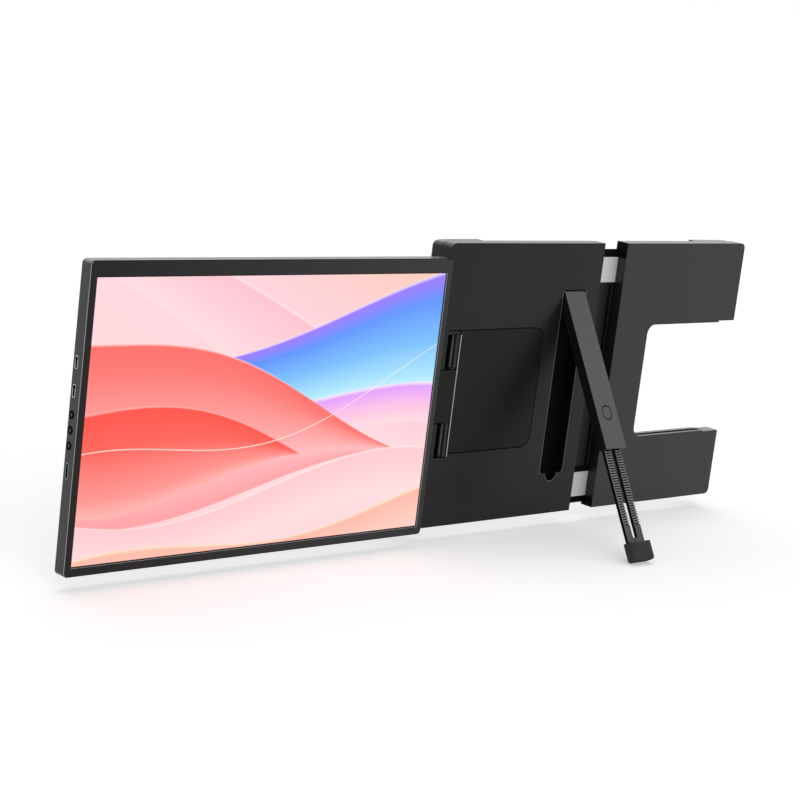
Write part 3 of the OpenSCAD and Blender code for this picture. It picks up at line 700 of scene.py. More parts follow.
@dataclass(frozen=True)
class Brushed:
    """Drawn or brushed metal, with its fine lines along X."""

    name: str
    colour: tuple[float, float, float]
    rough: float = 0.32
    metal: float = 1.0
    lines: float = 0.25

    def make(self) -> bpy.types.Material:
        """Build the material.

        Returns:
            The material.
        """
        w = Skin(self.name)
        place = w.add("ShaderNodeMapping", Vector=w.place)
        place.inputs["Scale"].default_value = (0.02, 1.0, 1.0)
        streak = w.add("ShaderNodeTexNoise", Vector=place.outputs[0], Scale=3200.0, Detail=3.0)
        tone = w.mix(streak.outputs["Fac"], shade_of(self.colour, 0.90), shade_of(self.colour, 1.08))
        return w.surface(Base_Color=tone, Metallic=self.metal,
                         Roughness=w.spread(streak.outputs["Fac"], self.rough - 0.06, self.rough + 0.08),
                         Normal=w.bump(streak.outputs["Fac"], self.lines, 0.01))


@dataclass(frozen=True)
class Coated:
    """Metal under a dark powder coat, with a slight orange-peel skin."""

    name: str
    colour: tuple[float, float, float]
    rough: float = 0.36
    shine: float = 0.5

    def make(self) -> bpy.types.Material:
        """Build the material.

        Returns:
            The material.
        """
        w = Skin(self.name)
        tone = w.mix(w.noise(240.0), shade_of(self.colour, 0.85), shade_of(self.colour, 1.15))
        return w.surface(Base_Color=tone, Roughness=w.spread(w.noise(300.0, 3.0), self.rough - 0.05,
                         self.rough + 0.07), Specular_IOR_Level=self.shine,
                         Normal=w.bump(w.noise(1400.0), 0.2, 0.03))


@dataclass(frozen=True)
class PaintedSheen:
    """Dark coated barrel with a painted highlight strip down one side and painted shade across its middle,
    graded across a slanting direction.
    """

    name: str
    axis: tuple[float, float]
    radius: float
    slant: tuple[float, float] = (0.723, -0.691)
    strips: tuple[tuple[float, float], ...] = (
        (0.0, 0.03), (0.22, 0.05), (0.27, 0.26), (0.33, 0.26), (0.40, 0.003), (0.62, 0.003),
        (0.70, 0.05), (0.85, 0.05), (1.0, 0.03))

    def make(self) -> bpy.types.Material:
        """Build the material.

        Returns:
            The material.
        """
        w = Skin(self.name)
        parts = w.add("ShaderNodeSeparateXYZ", Vector=w.place).outputs
        scale = 0.5 / (self.radius * MM)
        along, inward = self.slant
        x = w.sum("MULTIPLY_ADD", parts["X"], along * scale,
                  third=0.5 - along * self.axis[0] * MM * scale)
        across = w.sum("MULTIPLY_ADD", parts["Y"], inward * scale,
                       third=w.sum("ADD", x, -inward * self.axis[1] * MM * scale))
        # Painted highlight on one side, painted shade in the middle, mid-grey towards the plate
        tone = w.ramp(across, [(where, (value,) * 3) for where, value in self.strips])
        return w.surface(Base_Color=tone, Roughness=w.spread(w.noise(300.0, 3.0), 0.20, 0.30),
                         Specular_IOR_Level=0.12, Normal=w.bump(w.noise(1400.0), 0.15, 0.03))


@dataclass(frozen=True)
class Elastomer:
    """Silicone or rubber: dull, dusty and slightly uneven."""

    name: str
    colour: tuple[float, float, float]
    rough: float = 0.72

    def make(self) -> bpy.types.Material:
        """Build the material.

        Returns:
            The material.
        """
        w = Skin(self.name)
        tone = w.mix(w.spread(w.noise(90.0, 5.0), -0.2, 1.2), shade_of(self.colour, 0.8),
                     shade_of(self.colour, 1.25))
        return w.surface(Base_Color=tone, Roughness=w.spread(w.noise(400.0), self.rough - 0.08,
                         self.rough + 0.08), Specular_IOR_Level=0.3,
                         Normal=w.bump(w.noise(1800.0, 3.0), 0.3, 0.04))


@dataclass(frozen=True)
class CircuitBoard:
    """Green solder mask with paler tracks."""

    name: str = "circuit_board"

    def make(self) -> bpy.types.Material:
        """Build the material.

        Returns:
            The material.
        """
        w = Skin(self.name)
        tracks = w.add("ShaderNodeTexVoronoi", Vector=w.place, Scale=420.0)
        tracks.distance = "CHEBYCHEV"
        tone = w.ramp(tracks.outputs["Distance"],
                      [(0.0, (0.05, 0.25, 0.12)), (0.35, (0.02, 0.13, 0.06)), (1.0, (0.02, 0.1, 0.05))])
        return w.surface(Base_Color=tone, Roughness=0.35)


@dataclass(frozen=True)
class Curve:
    """A soft line across the picture: its height at the left, its rise to the right, its wave."""

    level: float
    rise: float
    swing: float
    waves: float
    start: float

    def wire(self, w: Wiring, across: bpy.types.NodeSocket) -> bpy.types.NodeSocket:
        """Work out the line's height from the share of the way across.

        Args:
            w: the material's wiring.
            across: share of the way across, from 0 to 1.

        Returns:
            The height's output.
        """
        angle = w.sum("MULTIPLY_ADD", across, self.waves * math.tau, third=self.start * math.tau)
        straight = w.sum("MULTIPLY_ADD", across, self.rise, third=self.level)
        return w.sum("MULTIPLY_ADD", w.sum("SINE", angle), self.swing, third=straight)


@dataclass(frozen=True)
class Fold:
    """One soft fold of the picture between two lines, and its colours from the upper one down."""

    upper: Curve
    lower: Curve
    colours: tuple[tuple[float, tuple[float, float, float]], ...]
    strength: float = 1.0
    edge: float = 0.006


@dataclass(frozen=True)
class FoldPicture:
    """Lit screen with a plain picture of soft flowing folds."""

    name: str = "screen_picture"
    left: float = -393.2
    low: float = -103.15
    width: float = 303.1
    height: float = 189.6
    ground: tuple[tuple[float, tuple[float, float, float]], ...] = (
        (0.0, (1.0, 0.58, 0.60)), (0.35, (1.0, 0.70, 0.73)), (0.7, (1.0, 0.66, 0.72)),
        (1.0, (1.0, 0.60, 0.48)))
    folds: tuple[Fold, ...] = (
        Fold(Curve(1.18, -0.62, 0.05, 0.6, 0.1), Curve(0.96, -0.70, 0.07, 0.7, 0.25), (
            (0.0, (1.0, 0.92, 0.95)), (0.05, (1.0, 0.52, 0.62)), (0.6, (1.0, 0.66, 0.72)),
            (1.0, (1.0, 0.74, 0.78))), 0.8),
        Fold(Curve(0.64, 0.32, 0.05, 0.8, 0.42), Curve(0.62, -0.16, 0.07, 0.75, 0.50), (
            (0.0, (0.92, 0.86, 1.0)), (0.04, (0.34, 0.20, 1.0)), (0.22, (0.12, 0.30, 1.0)),
            (0.55, (0.20, 0.52, 1.0)), (0.85, (0.42, 0.80, 1.0)), (1.0, (0.80, 0.95, 1.0)))),
        Fold(Curve(0.63, -0.12, 0.07, 0.75, 0.49), Curve(0.56, -0.24, 0.09, 0.8, 0.46), (
            (0.0, (0.98, 0.88, 1.0)), (0.12, (0.78, 0.36, 1.0)), (0.6, (1.0, 0.56, 0.78)),
            (1.0, (1.0, 0.72, 0.76)))),
        Fold(Curve(0.80, -0.44, 0.08, 0.85, 0.95), Curve(0.16, 0.12, 0.06, 0.8, 0.62), (
            (0.0, (1.0, 0.80, 0.76)), (0.02, (1.0, 0.16, 0.14)), (0.16, (1.0, 0.20, 0.18)),
            (0.42, (1.0, 0.34, 0.33)), (0.75, (1.0, 0.50, 0.52)), (1.0, (1.0, 0.36, 0.38)))),
        Fold(Curve(0.52, -0.30, 0.10, 0.8, 0.02), Curve(0.24, 0.02, 0.08, 0.9, 0.70), (
            (0.0, (1.0, 0.62, 0.58)), (0.03, (1.0, 0.09, 0.07)), (0.35, (1.0, 0.13, 0.10)),
            (0.8, (1.0, 0.30, 0.28)), (1.0, (1.0, 0.48, 0.46)))),
        Fold(Curve(0.20, 0.05, 0.09, 0.75, 0.60), Curve(-0.30, 0.10, 0.0, 1.0, 0.0), (
            (0.0, (1.0, 0.97, 0.90)), (0.02, (1.0, 0.60, 0.64)), (0.30, (1.0, 0.72, 0.74)),
            (0.7, (1.0, 0.66, 0.70)), (1.0, (1.0, 0.70, 0.72)))),
        Fold(Curve(-0.02, 0.16, 0.05, 0.9, 0.20), Curve(-0.40, 0.10, 0.0, 1.0, 0.0), (
            (0.0, (1.0, 0.86, 0.62)), (0.04, (1.0, 0.48, 0.36)), (0.3, (1.0, 0.62, 0.54)),
            (1.0, (1.0, 0.74, 0.70))), 0.9),
        Fold(Curve(0.306, 0.36, 0.10, 0.8, 0.31), Curve(0.300, 0.36, 0.10, 0.8, 0.31), (
            (0.0, (1.0, 0.92, 0.62)), (1.0, (0.86, 0.95, 1.0))), 0.9, 0.003),
    )

    def make(self) -> bpy.types.Material:
        """Build the material.

        Returns:
            The material.
        """
        w = Skin(self.name)
        parts = w.add("ShaderNodeSeparateXYZ", Vector=w.place)
        across = w.sum("MULTIPLY_ADD", parts.outputs["X"], 1 / (self.width * MM),
                       third=-self.left / self.width)
        up = w.sum("MULTIPLY_ADD", parts.outputs["Z"], 1 / (self.height * MM),
                   third=-self.low / self.height)
        slant = w.sum("MULTIPLY_ADD", across, 0.5, third=w.sum("MULTIPLY", up, 0.5))
        picture = w.ramp(slant, self.ground)
        for fold in self.folds:
            top, bottom = fold.upper.wire(w, across), fold.lower.wire(w, across)
            below, above = w.sum("SUBTRACT", top, up), w.sum("SUBTRACT", up, bottom)
            inside = w.sum("MULTIPLY", w.sum("DIVIDE", below, fold.edge, clamp=True),
                           w.sum("DIVIDE", above, fold.edge, clamp=True))
            share = w.sum("DIVIDE", below, w.sum("SUBTRACT", top, bottom), clamp=True)
            colour = w.ramp(share, fold.colours)
            picture = w.mix(w.sum("MULTIPLY", inside, fold.strength), picture, colour)
        return w.surface(Base_Color=(0.01, 0.01, 0.01, 1.0), Roughness=0.32, Specular_IOR_Level=0.10,
                         Emission_Color=picture, Emission_Strength=1.0)


@dataclass
class Palette:
    """Every finish of the extender, made once."""

    case: bpy.types.Material = field(init=False)
    hinge_cover: bpy.types.Material = field(init=False)
    bracket: bpy.types.Material = field(init=False)
    display: bpy.types.Material = field(init=False)
    bezel: bpy.types.Material = field(init=False)
    gasket: bpy.types.Material = field(init=False)
    stand_front: bpy.types.Material = field(init=False)
    stand_side: bpy.types.Material = field(init=False)
    edge: bpy.types.Material = field(init=False)
    trim: bpy.types.Material = field(init=False)
    groove_line: bpy.types.Material = field(init=False)
    recess: bpy.types.Material = field(init=False)
    rib: bpy.types.Material = field(init=False)
    fine_painted_highlight: bpy.types.Material = field(init=False)
    barrel: bpy.types.Material = field(init=False)
    tongue: bpy.types.Material = field(init=False)
    leg: bpy.types.Material = field(init=False)
    rail: bpy.types.Material = field(init=False)
    steel: bpy.types.Material = field(init=False)
    socket: bpy.types.Material = field(init=False)
    nylon: bpy.types.Material = field(init=False)
    silicone: bpy.types.Material = field(init=False)
    foot: bpy.types.Material = field(init=False)
    acrylic: bpy.types.Material = field(init=False)
    board: bpy.types.Material = field(init=False)
    screen: bpy.types.Material = field(init=False)

    def __post_init__(self) -> None:
        """Make the materials."""
        self.case = Moulded("case_plastic", (0.010, 0.010, 0.0105)).make()
        self.hinge_cover = Moulded("hinge_cover_plastic", (0.005, 0.005, 0.005), shine=0.18).make()
        self.bracket = Moulded("bracket_plastic", (0.016, 0.016, 0.016), shine=0.45).make()
        self.display = Moulded("display_plastic", (0.022, 0.022, 0.022), shine=0.45).make()
        # Painted light: the bezel grows lighter towards its right side
        self.bezel = Moulded("bezel_plastic", (0.010, 0.010, 0.010), shine=0.25, painted_light_end=4.0).make()
        self.gasket = Elastomer("screen_gasket", (0.004, 0.004, 0.004)).make()
        self.stand_front = Moulded("stand_plastic", (0.116, 0.116, 0.117), shine=0.5).make()
        # Painted shade: a darker copy of the stand's plastic for its sides, back and lower end
        self.stand_side = Moulded("stand_side_painted_shade", (0.009, 0.009, 0.009)).make()
        # Painted highlights: lighter coats for bright edges, the groove's rim and the hinge line
        self.edge = Coated("painted_highlight_edge", (0.32, 0.32, 0.32), rough=0.25, shine=0.6).make()
        self.fine_painted_highlight = Coated("fine_painted_highlight", (0.10, 0.10, 0.10), rough=0.25, shine=0.6).make()
        self.groove_line = Coated("groove_line", (0.16, 0.16, 0.16), rough=0.28, shine=0.5).make()
        self.trim = Coated("trim_painted_highlight", (0.42, 0.42, 0.42), rough=0.28, shine=0.6).make()
        # Painted shade: dark plastic for recesses and shaded faces
        self.recess = Moulded("recess_painted_shade", (0.0055, 0.0055, 0.0055), rough=0.6, shine=0.03).make()
        # Painted highlight on the leg's rib tops
        self.rib = Coated("rib_painted_highlight", (0.22, 0.22, 0.22), rough=0.30).make()
        # The knuckles wear a painted highlight and painted shade
        self.barrel = PaintedSheen("barrel_painted_sheen", (-64.3, FACE_Y + 4.0), 3.4).make()
        self.tongue = Coated("tongue_coating", (0.012, 0.012, 0.011), rough=0.38, shine=0.2).make()
        self.leg = Coated("leg_coating", (0.075, 0.075, 0.075), rough=0.35).make()
        self.rail = Brushed("rail_metal", (0.86, 0.86, 0.855), rough=0.46, metal=0.2).make()
        self.steel = Brushed("screw_steel", (0.32, 0.32, 0.33), rough=0.35).make()
        self.socket = Brushed("socket_metal", (0.66, 0.66, 0.68), rough=0.28).make()
        self.nylon = Elastomer("nylon", (0.020, 0.020, 0.021), rough=0.55).make()
        self.silicone = Elastomer("silicone_pad", (0.016, 0.016, 0.017)).make()
        self.foot = Elastomer("foot_rubber", (0.030, 0.030, 0.030), rough=0.55).make()
        self.acrylic = Moulded("light_guide_acrylic", (0.80, 0.82, 0.84), rough=0.2).make()
        self.board = CircuitBoard().make()
        self.screen = FoldPicture().make()


def dress(obj: Obj, material: bpy.types.Material, edge: bpy.types.Material | None = None,
          recess: bpy.types.Material | None = None) -> Obj:
    """Give a piece its material, and the painted highlights of its bright edges and the painted shade of
    its recesses theirs.

    Args:
        obj: the piece.
        material: the finish of its faces.
        edge: the finish of its bright edges, a painted highlight, or on the kickstand a darker copy that
            paints shade on its sides.
        recess: the finish of its recesses and shaded faces, a painted shade.

    Returns:
        The piece.
    """
    slots = obj.data.materials
    open_slots(obj, 1)
    for index, finish in zip(range(len(slots)), (material, edge, recess)):
        slots[index] = finish or material
    return obj


def register(obj: Obj, body: str, nodes: Sequence[str]) -> Obj:
    """Tell the frame what a piece rides on and the nodes that it stands for.

    Args:
        obj: the finished piece.
        body: the CAD body that carries it.
        nodes: the CAD nodes that it replaces.

    Returns:
        The piece.
    """
    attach(obj, body)
    if nodes:
        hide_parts(*nodes)
    log.info("%s: %d faces, on %s", obj.name, len(obj.data.polygons), body)
    return obj


# Fasteners and pads


@dataclass(frozen=True)
class ScrewStyle:
    """Small pan screw with a cross recess and its well, seen from the lid's side, in mm."""

    well_r: float = 2.35
    well_l: float = 1.62
    head_r: float = 2.2
    head_t: float = 0.75
    slot_l: float = 2.6
    slot_w: float = 0.5
    slot_d: float = 0.45

    def heads(self, name: str, places: Sequence[tuple[float, float]], face_d: float) -> Obj:
        """Make one head and copy it to each place.

        Args:
            name: name of the joined object.
            places: x and z of each screw in mm.
            face_d: depth of the heads' outer faces in mm.

        Returns:
            All the heads as one object.
        """
        first = bar(name, Axis.Y, (0.0, face_d - self.head_t / 2, 0.0), self.head_r, self.head_t, 32)
        round_edges(first, 0.18, 2, lambda x, d, z: d > face_d - NEAR)
        depth = (face_d - self.slot_d, face_d + 1.0)
        cut(first,
            block("slot", (-self.slot_l / 2, self.slot_l / 2), (-self.slot_w / 2, self.slot_w / 2), depth),
            block("slot", (-self.slot_w / 2, self.slot_w / 2), (-self.slot_l / 2, self.slot_l / 2), depth))
        finish_surface(first)
        copies = [copy_to(first, (x, 0.0, z)) for x, z in places]
        bpy.data.objects.remove(first)
        return gather(name, copies)

    def wells(self, places: Sequence[tuple[float, float]], back_d: float) -> list[Obj]:
        """Make the cutters of the wells that the screws sit in.

        Args:
            places: x and z of each screw in mm.
            back_d: depth of the cover's rear face in mm.

        Returns:
            The cutters.
        """
        return [bar("well", Axis.Y, (x, back_d, z), self.well_r, self.well_l, 40) for x, z in places]


@dataclass(frozen=True)
class GripPad:
    """Silicone pad on a rear cover, with shallow grip channels across it, in mm."""

    x: Span
    z: Span
    channel_x: Span
    first_z: float
    count: int
    step: float
    d: Span = (12.0, 12.8)
    corner: float = 4.5
    channel_w: float = 0.8
    channel_d: float = 0.35

    def build(self, name: str) -> Obj:
        """Build the pad.

        Args:
            name: its name.

        Returns:
            The pad.
        """
        pad = plate(name, self.x, self.z, self.d, self.corner)
        face = self.d[1]
        round_edges(pad, 0.3, 2, lambda x, d, z: d > face - NEAR)
        channel = block("channel", self.channel_x, (self.first_z, self.first_z + self.channel_w),
                        (face - self.channel_d, face + 0.4))
        return cut(pad, repeat(channel, self.count, (0.0, 0.0, self.step)))


# Body


@dataclass
class BodyCase:
    """The flat body: front shell, rear cover, lid pad and their screws, in mm."""

    half_w: float = 82.65
    half_h: float = 107.25
    corner: float = 4.5
    cover_d: float = 11.0
    back_d: float = 12.0
    seam: float = 0.1
    groove_x: Span = (42.25, 67.85)
    groove_z: Span = (-74.55, 71.05)
    groove_d: float = 8.5
    thumb: tuple[float, float, float, float] = (55.05, -74.55, 6.3, 5.0)
    plate_x: Span = (-62.55, 25.25)
    plate_z: Span = (-50.7, 41.9)
    plate_r: float = 9.0
    plate_gap: float = 0.75
    # Width of the painted highlight line round the groove
    trim_w: float = 0.45
    window_x: Span = (-75.25, -61.2)
    window_z: Span = (-53.9, 39.5)
    arm_gap_z: Span = (-27.8, 13.4)
    channel_z: Span = (-104.85, 101.15)
    rail_z: tuple[Span, Span] = ((-99.4, -78.9), (74.5, 95.0))
    leaf_x: Span = (-61.0, 32.0)
    leaf_z: Span = (-57.0, 48.2)
    leaf_d: Span = (1.99, 6.0)
    rail_d: float = 8.4
    window_d: float = 9.5
    screws: tuple[tuple[float, float], ...] = (
        (-73.65, 94.55), (-73.65, -98.25), (-8.265, 104.2), (69.425, 104.2))
    pad: GripPad = GripPad((-30.0, 30.0), (-45.0, 45.0), (-25.0, 25.0), -38.4, 13, 6.3)

    def build_shell(self) -> Obj:
        """Build the front shell with its groove, its windows and the tongue's channel.

        Returns:
            The shell.
        """
        w, h = self.half_w, self.half_h
        shell = plate("body_shell", (-w, w), (-h, h), (0.0, self.cover_d - self.seam), self.corner,
                      lambda x, d, z: x < 0)
        out = w + OVER
        floor_d = self.groove_d + 0.75
        inner = -w + 2.4
        back = self.cover_d + OVER
        cut(shell,
            block("channel", (inner, out), self.channel_z, (floor_d, back)),
            block("channel", (w - 11.0, out), self.channel_z, (self.rail_d, back)))
        for z in self.rail_z:
            cut(shell, block("rail_channel", (inner + 12.0, out), z, (self.rail_d, back)))
        # Hollow behind the hinge plate for the leaf and its screws
        cut(shell, block("leaf_hollow", self.leaf_x, self.leaf_z, self.leaf_d))
        gap, (low, high) = self.plate_gap, self.plate_z
        opening = plate("opening", (self.plate_x[0] - OVER, self.plate_x[1] + gap),
                        (low - gap, high + gap), (-OVER, 2.5), self.plate_r + gap,
                        lambda x, d, z: x > 0, 12)
        # Painted shade inside the plate's opening and the windows
        cut(shell, paint_shade_inside(opening),
            paint_shade_inside(block("window", self.window_x, self.window_z, (-OVER, self.window_d))),
            paint_shade_inside(block("arm_window", (-out, self.plate_x[0]), self.arm_gap_z, (-OVER, back))))
        # The plate's seam runs on over the upper hinge knuckle, with painted shade inside
        cut(shell, paint_shade_inside(block("seam", (self.window_x[0], self.plate_x[0]), (high, high + gap),
                                  (-OVER, 0.6))))
        # Painted shade inside the kickstand's groove and its thumb notch
        for tool in self.groove_solids(0.0, (-OVER, self.groove_d)):
            cut(shell, paint_shade_inside(tool))
        left, right = self.groove_x
        round_edges(shell, 0.22, 2, lambda x, d, z: d < NEAR and not left - 0.5 < x < right + 0.5)
        round_edges(shell, 0.15, 1, lambda x, d, z: abs(d - self.cover_d + self.seam) < NEAR
                    and (abs(z) > h - 5.0 or x < 5.0 - w), 60.0)
        return finish_surface(shell)

    def groove_solids(self, grow: float, d: Span) -> tuple[Obj, Obj]:
        """Make solids of the kickstand's groove and of its thumb notch.

        Args:
            grow: how much larger all round, in mm.
            d: the groove's depths in mm.

        Returns:
            The groove and the notch.
        """
        x, z = self.groove_x, self.groove_z
        groove = plate("groove", (x[0] - grow, x[1] + grow), (z[0] - grow, z[1] + grow), d, 2.5 + grow)
        deep = (d[0], min(d[1], self.thumb[3]))
        thumb = bar("thumb", Axis.Y, (self.thumb[0], sum(deep) / 2, self.thumb[1]),
                    self.thumb[2] + grow, deep[1] - deep[0], 64)
        return groove, thumb

    def build_trim(self) -> Obj:
        """Build the thin bright line round the kickstand's groove and its thumb notch, a painted highlight
        on the rim.

        Returns:
            The line.
        """
        ring, notch = self.groove_solids(self.trim_w, (-0.03, 0.4))
        fuse(ring, notch)
        cut(ring, *self.groove_solids(0.0, (-1.0, 1.0)))
        # The line leaves out the groove's top, stops at its lower corners and goes on round the notch
        left, right, high = self.groove_x[0], self.groove_x[1], self.groove_z[1]
        cut(ring, block("top", (left - 1.0, right + 1.0), (high - 0.3, high + 1.0), (-1.0, 1.0)))
        low, (centre, _, radius, _) = self.groove_z[0], self.thumb
        for sides in ((left + 1.0, centre - radius - self.trim_w),
                      (centre + radius + self.trim_w, right - 1.0)):
            cut(ring, block("stop", sides, (low - 1.0, low + NEAR), (-1.0, 1.0)))
        ring.name = ring.data.name = "groove_highlight_ring"
        return finish_surface(ring)

    def build_cover(self) -> Obj:
        """Build the rear cover, with its rounded rim, screw wells and the arm's notch.

        Returns:
            The cover.
        """
        w, h = self.half_w, self.half_h
        cover = plate("rear_cover", (-w, w), (-h, h), (self.cover_d, self.back_d), self.corner,
                      lambda x, d, z: x < 0)
        round_edges(cover, 0.85, 4, lambda x, d, z: d > self.back_d - NEAR)
        cut(cover, block("notch", (-w - 1.0, self.window_x[0]), self.arm_gap_z,
                         (self.cover_d - 1.0, self.back_d + 1.0)))
        cut(cover, *ScrewStyle().wells(self.screws, self.back_d))
        return finish_surface(cover)

    def build(self, palette: Palette) -> None:
        """Build, dress and register the body's own pieces.

        Args:
            palette: the finishes.
        """
        register(dress(self.build_shell(), palette.case, palette.fine_painted_highlight, palette.recess), "body",
                 ["body_front"])
        register(dress(self.build_trim(), palette.groove_line), "body", [])
        register(dress(self.build_cover(), palette.case), "body", ["body_rear"])
        pad = finish_surface(self.pad.build("lid_pad_grip"))
        register(dress(pad, palette.silicone), "body", ["lid_pad"])
        heads = ScrewStyle().heads("body_screw_heads", self.screws, self.back_d - 0.02)
        register(dress(heads, palette.steel), "body", ["body_screws"])


# Hinge


@dataclass
class HingeSet:
    """Hinge plate, knuckles and the arm that carries the display, in mm."""

    x: float = -64.3
    d: float = 4.0
    z: float = -7.2
    barrel_r: float = 3.4
    barrels: tuple[Span, Span] = ((14.2, 39.2), (-53.6, -28.6))
    block_z: Span = (-27.0, 12.6)
    arm_x: float = -84.1
    arm_t: float = 6.4
    flat_over: float = 1.2
    boss_h: float = 11.0
    plate_x: Span = (-62.55, 25.25)
    plate_z: Span = (-50.7, 41.9)
    plate_t: float = 2.0
    plate_r: float = 9.0
    # The line is a painted highlight along the plate's left side
    line_z: Span = (-53.6, 39.2)
    line_w: float = 1.0
    line_in: float = 0.12
    line_d: Span = (-0.02, 0.14)
    lean_start: float = 0.9
    lean_slope: float = 1.25
    leaf_x: Span = (-59.34, 31.25)
    leaf_z: Span = (-56.7, 47.9)
    leaf_d: Span = (2.0, 4.0)
    strap_x: float = -58.5
    boss_w: float = 5.45
    boss_d: Span = (-3.5, 3.0)

    def lean_cutter(self, x: float) -> Obj:
        """Make a cutter for the plate's left side, which leans in clear of the knuckles and leaves painted
        shade.

        Args:
            x: where the side stands, in mm.

        Returns:
            The cutter.
        """
        low, high = self.plate_z
        lean = block("lean", (-4.0, 0.0), (low - OVER, high + OVER), (0.0, 6.0))
        pivot = Vector((x, FACE_Y + self.lean_start, 0.0)) * MM
        turn = Matrix.Rotation(-math.atan(self.lean_slope), 4, "Z")
        shift = Matrix.Translation(Vector((0.0, -FACE_Y, 0.0)) * MM)
        lean.data.transform(Matrix.Translation(pivot) @ turn @ shift)
        # Its faces leave painted shade on the plate's leaning side
        return paint_shade_inside(lean)

    def build_plate(self) -> Obj:
        """Build the hinge plate, with its left side set back for the bright line and painted shade on the
        side that leans in.

        Returns:
            The plate.
        """
        cover = plate("hinge_plate_cover", self.plate_x, self.plate_z, (0.0, self.plate_t),
                      self.plate_r, lambda x, d, z: x > 0, 12)
        left = self.plate_x[0]
        side = left + self.line_w + 0.05
        cut(cover, block("set_back", (left - OVER, side), (self.plate_z[0] - OVER, self.line_z[1] + 0.1),
                         (-OVER, self.plate_t + OVER)),
            self.lean_cutter(side))
        round_edges(cover, 0.12, 2, lambda x, d, z: d < NEAR and x > side + 0.3)
        return finish_surface(cover)

    def build_line(self) -> Obj:
        """Build the thin bright line along the plate's left side, a painted highlight of its chamfer.

        Returns:
            The line.
        """
        # It stands in a little from the plate's side, clear of the arm swung forward
        left = self.plate_x[0] + self.line_in
        line = block("hinge_highlight_line", (left, left + self.line_w), self.line_z, self.line_d)
        round_edges(line, 0.06, 1, lambda x, d, z: d < 0.0)
        return finish_surface(line)

    def build_barrels(self) -> Obj:
        """Build both knuckles with their straps and the leaf.

        Returns:
            The knuckles and the leaf as one piece.
        """
        leaf = block("hinge_barrels", self.leaf_x, self.leaf_z, self.leaf_d)
        for low, high in self.barrels:
            middle = (low + high) / 2
            barrel = bar("barrel", Axis.Z, (self.x, self.d, middle), self.barrel_r, high - low, 56)
            round_edges(barrel, 0.35, 2, everywhere, 60.0)
            strap = block("strap", (self.x, self.strap_x), (low + 0.4, high - 0.4), self.leaf_d)
            fuse(leaf, barrel, strap)
        return finish_surface(leaf)

    def build_arm(self) -> Obj:
        """Build the display arm: rounded block, raised boss with a sloping side.

        Returns:
            The arm.
        """
        low, high = self.block_z
        middle = (self.x, self.d, (low + high) / 2)
        arm = bar("display_arm_block", Axis.Z, middle, self.d, high - low, 64)
        fuse(arm, block("flat", (self.arm_x, self.x + self.flat_over), self.block_z, (0.0, self.arm_t)))
        # Take away the corner behind the pin so that the arm's rear stays within its round end
        cut(arm, block("corner", (self.x + NEAR, self.x + 4.0), (low - 1.0, high + 1.0),
                       (self.d + 0.02, self.arm_t + 1.0)))
        fuse(arm, bar("tail", Axis.Z, middle, self.d, high - low, 64))
        boss = block("boss", (self.arm_x, self.arm_x + self.boss_w),
                     (self.z - self.boss_h, self.z + self.boss_h), self.boss_d)
        front = self.boss_d[0]
        round_edges(boss, -front - NEAR, 1,
                    lambda x, d, z: d < front + NEAR and x > self.arm_x + self.boss_w - NEAR)
        fuse(arm, boss)
        round_edges(arm, 0.3, 2, lambda x, d, z: (d < NEAR or x < self.arm_x + NEAR) and d > -3.6, 38.0)
        return finish_surface(arm)

    def build(self, palette: Palette) -> None:
        """Build, dress and register the hinge's pieces.

        Args:
            palette: the finishes.
        """
        register(dress(self.build_plate(), palette.hinge_cover, recess=palette.recess), "body",
                 ["hinge_plate"])
        register(dress(self.build_line(), palette.trim), "body", [])
        register(dress(self.build_barrels(), palette.barrel), "body", ["hinge_leaf"])
        register(dress(self.build_arm(), palette.hinge_cover), "arm", ["display_arm"])


# Display


@dataclass(frozen=True)
class WallItem:
    """Something set in the display's left wall: its height and size in mm."""

    z: float
    long: float
    high: float


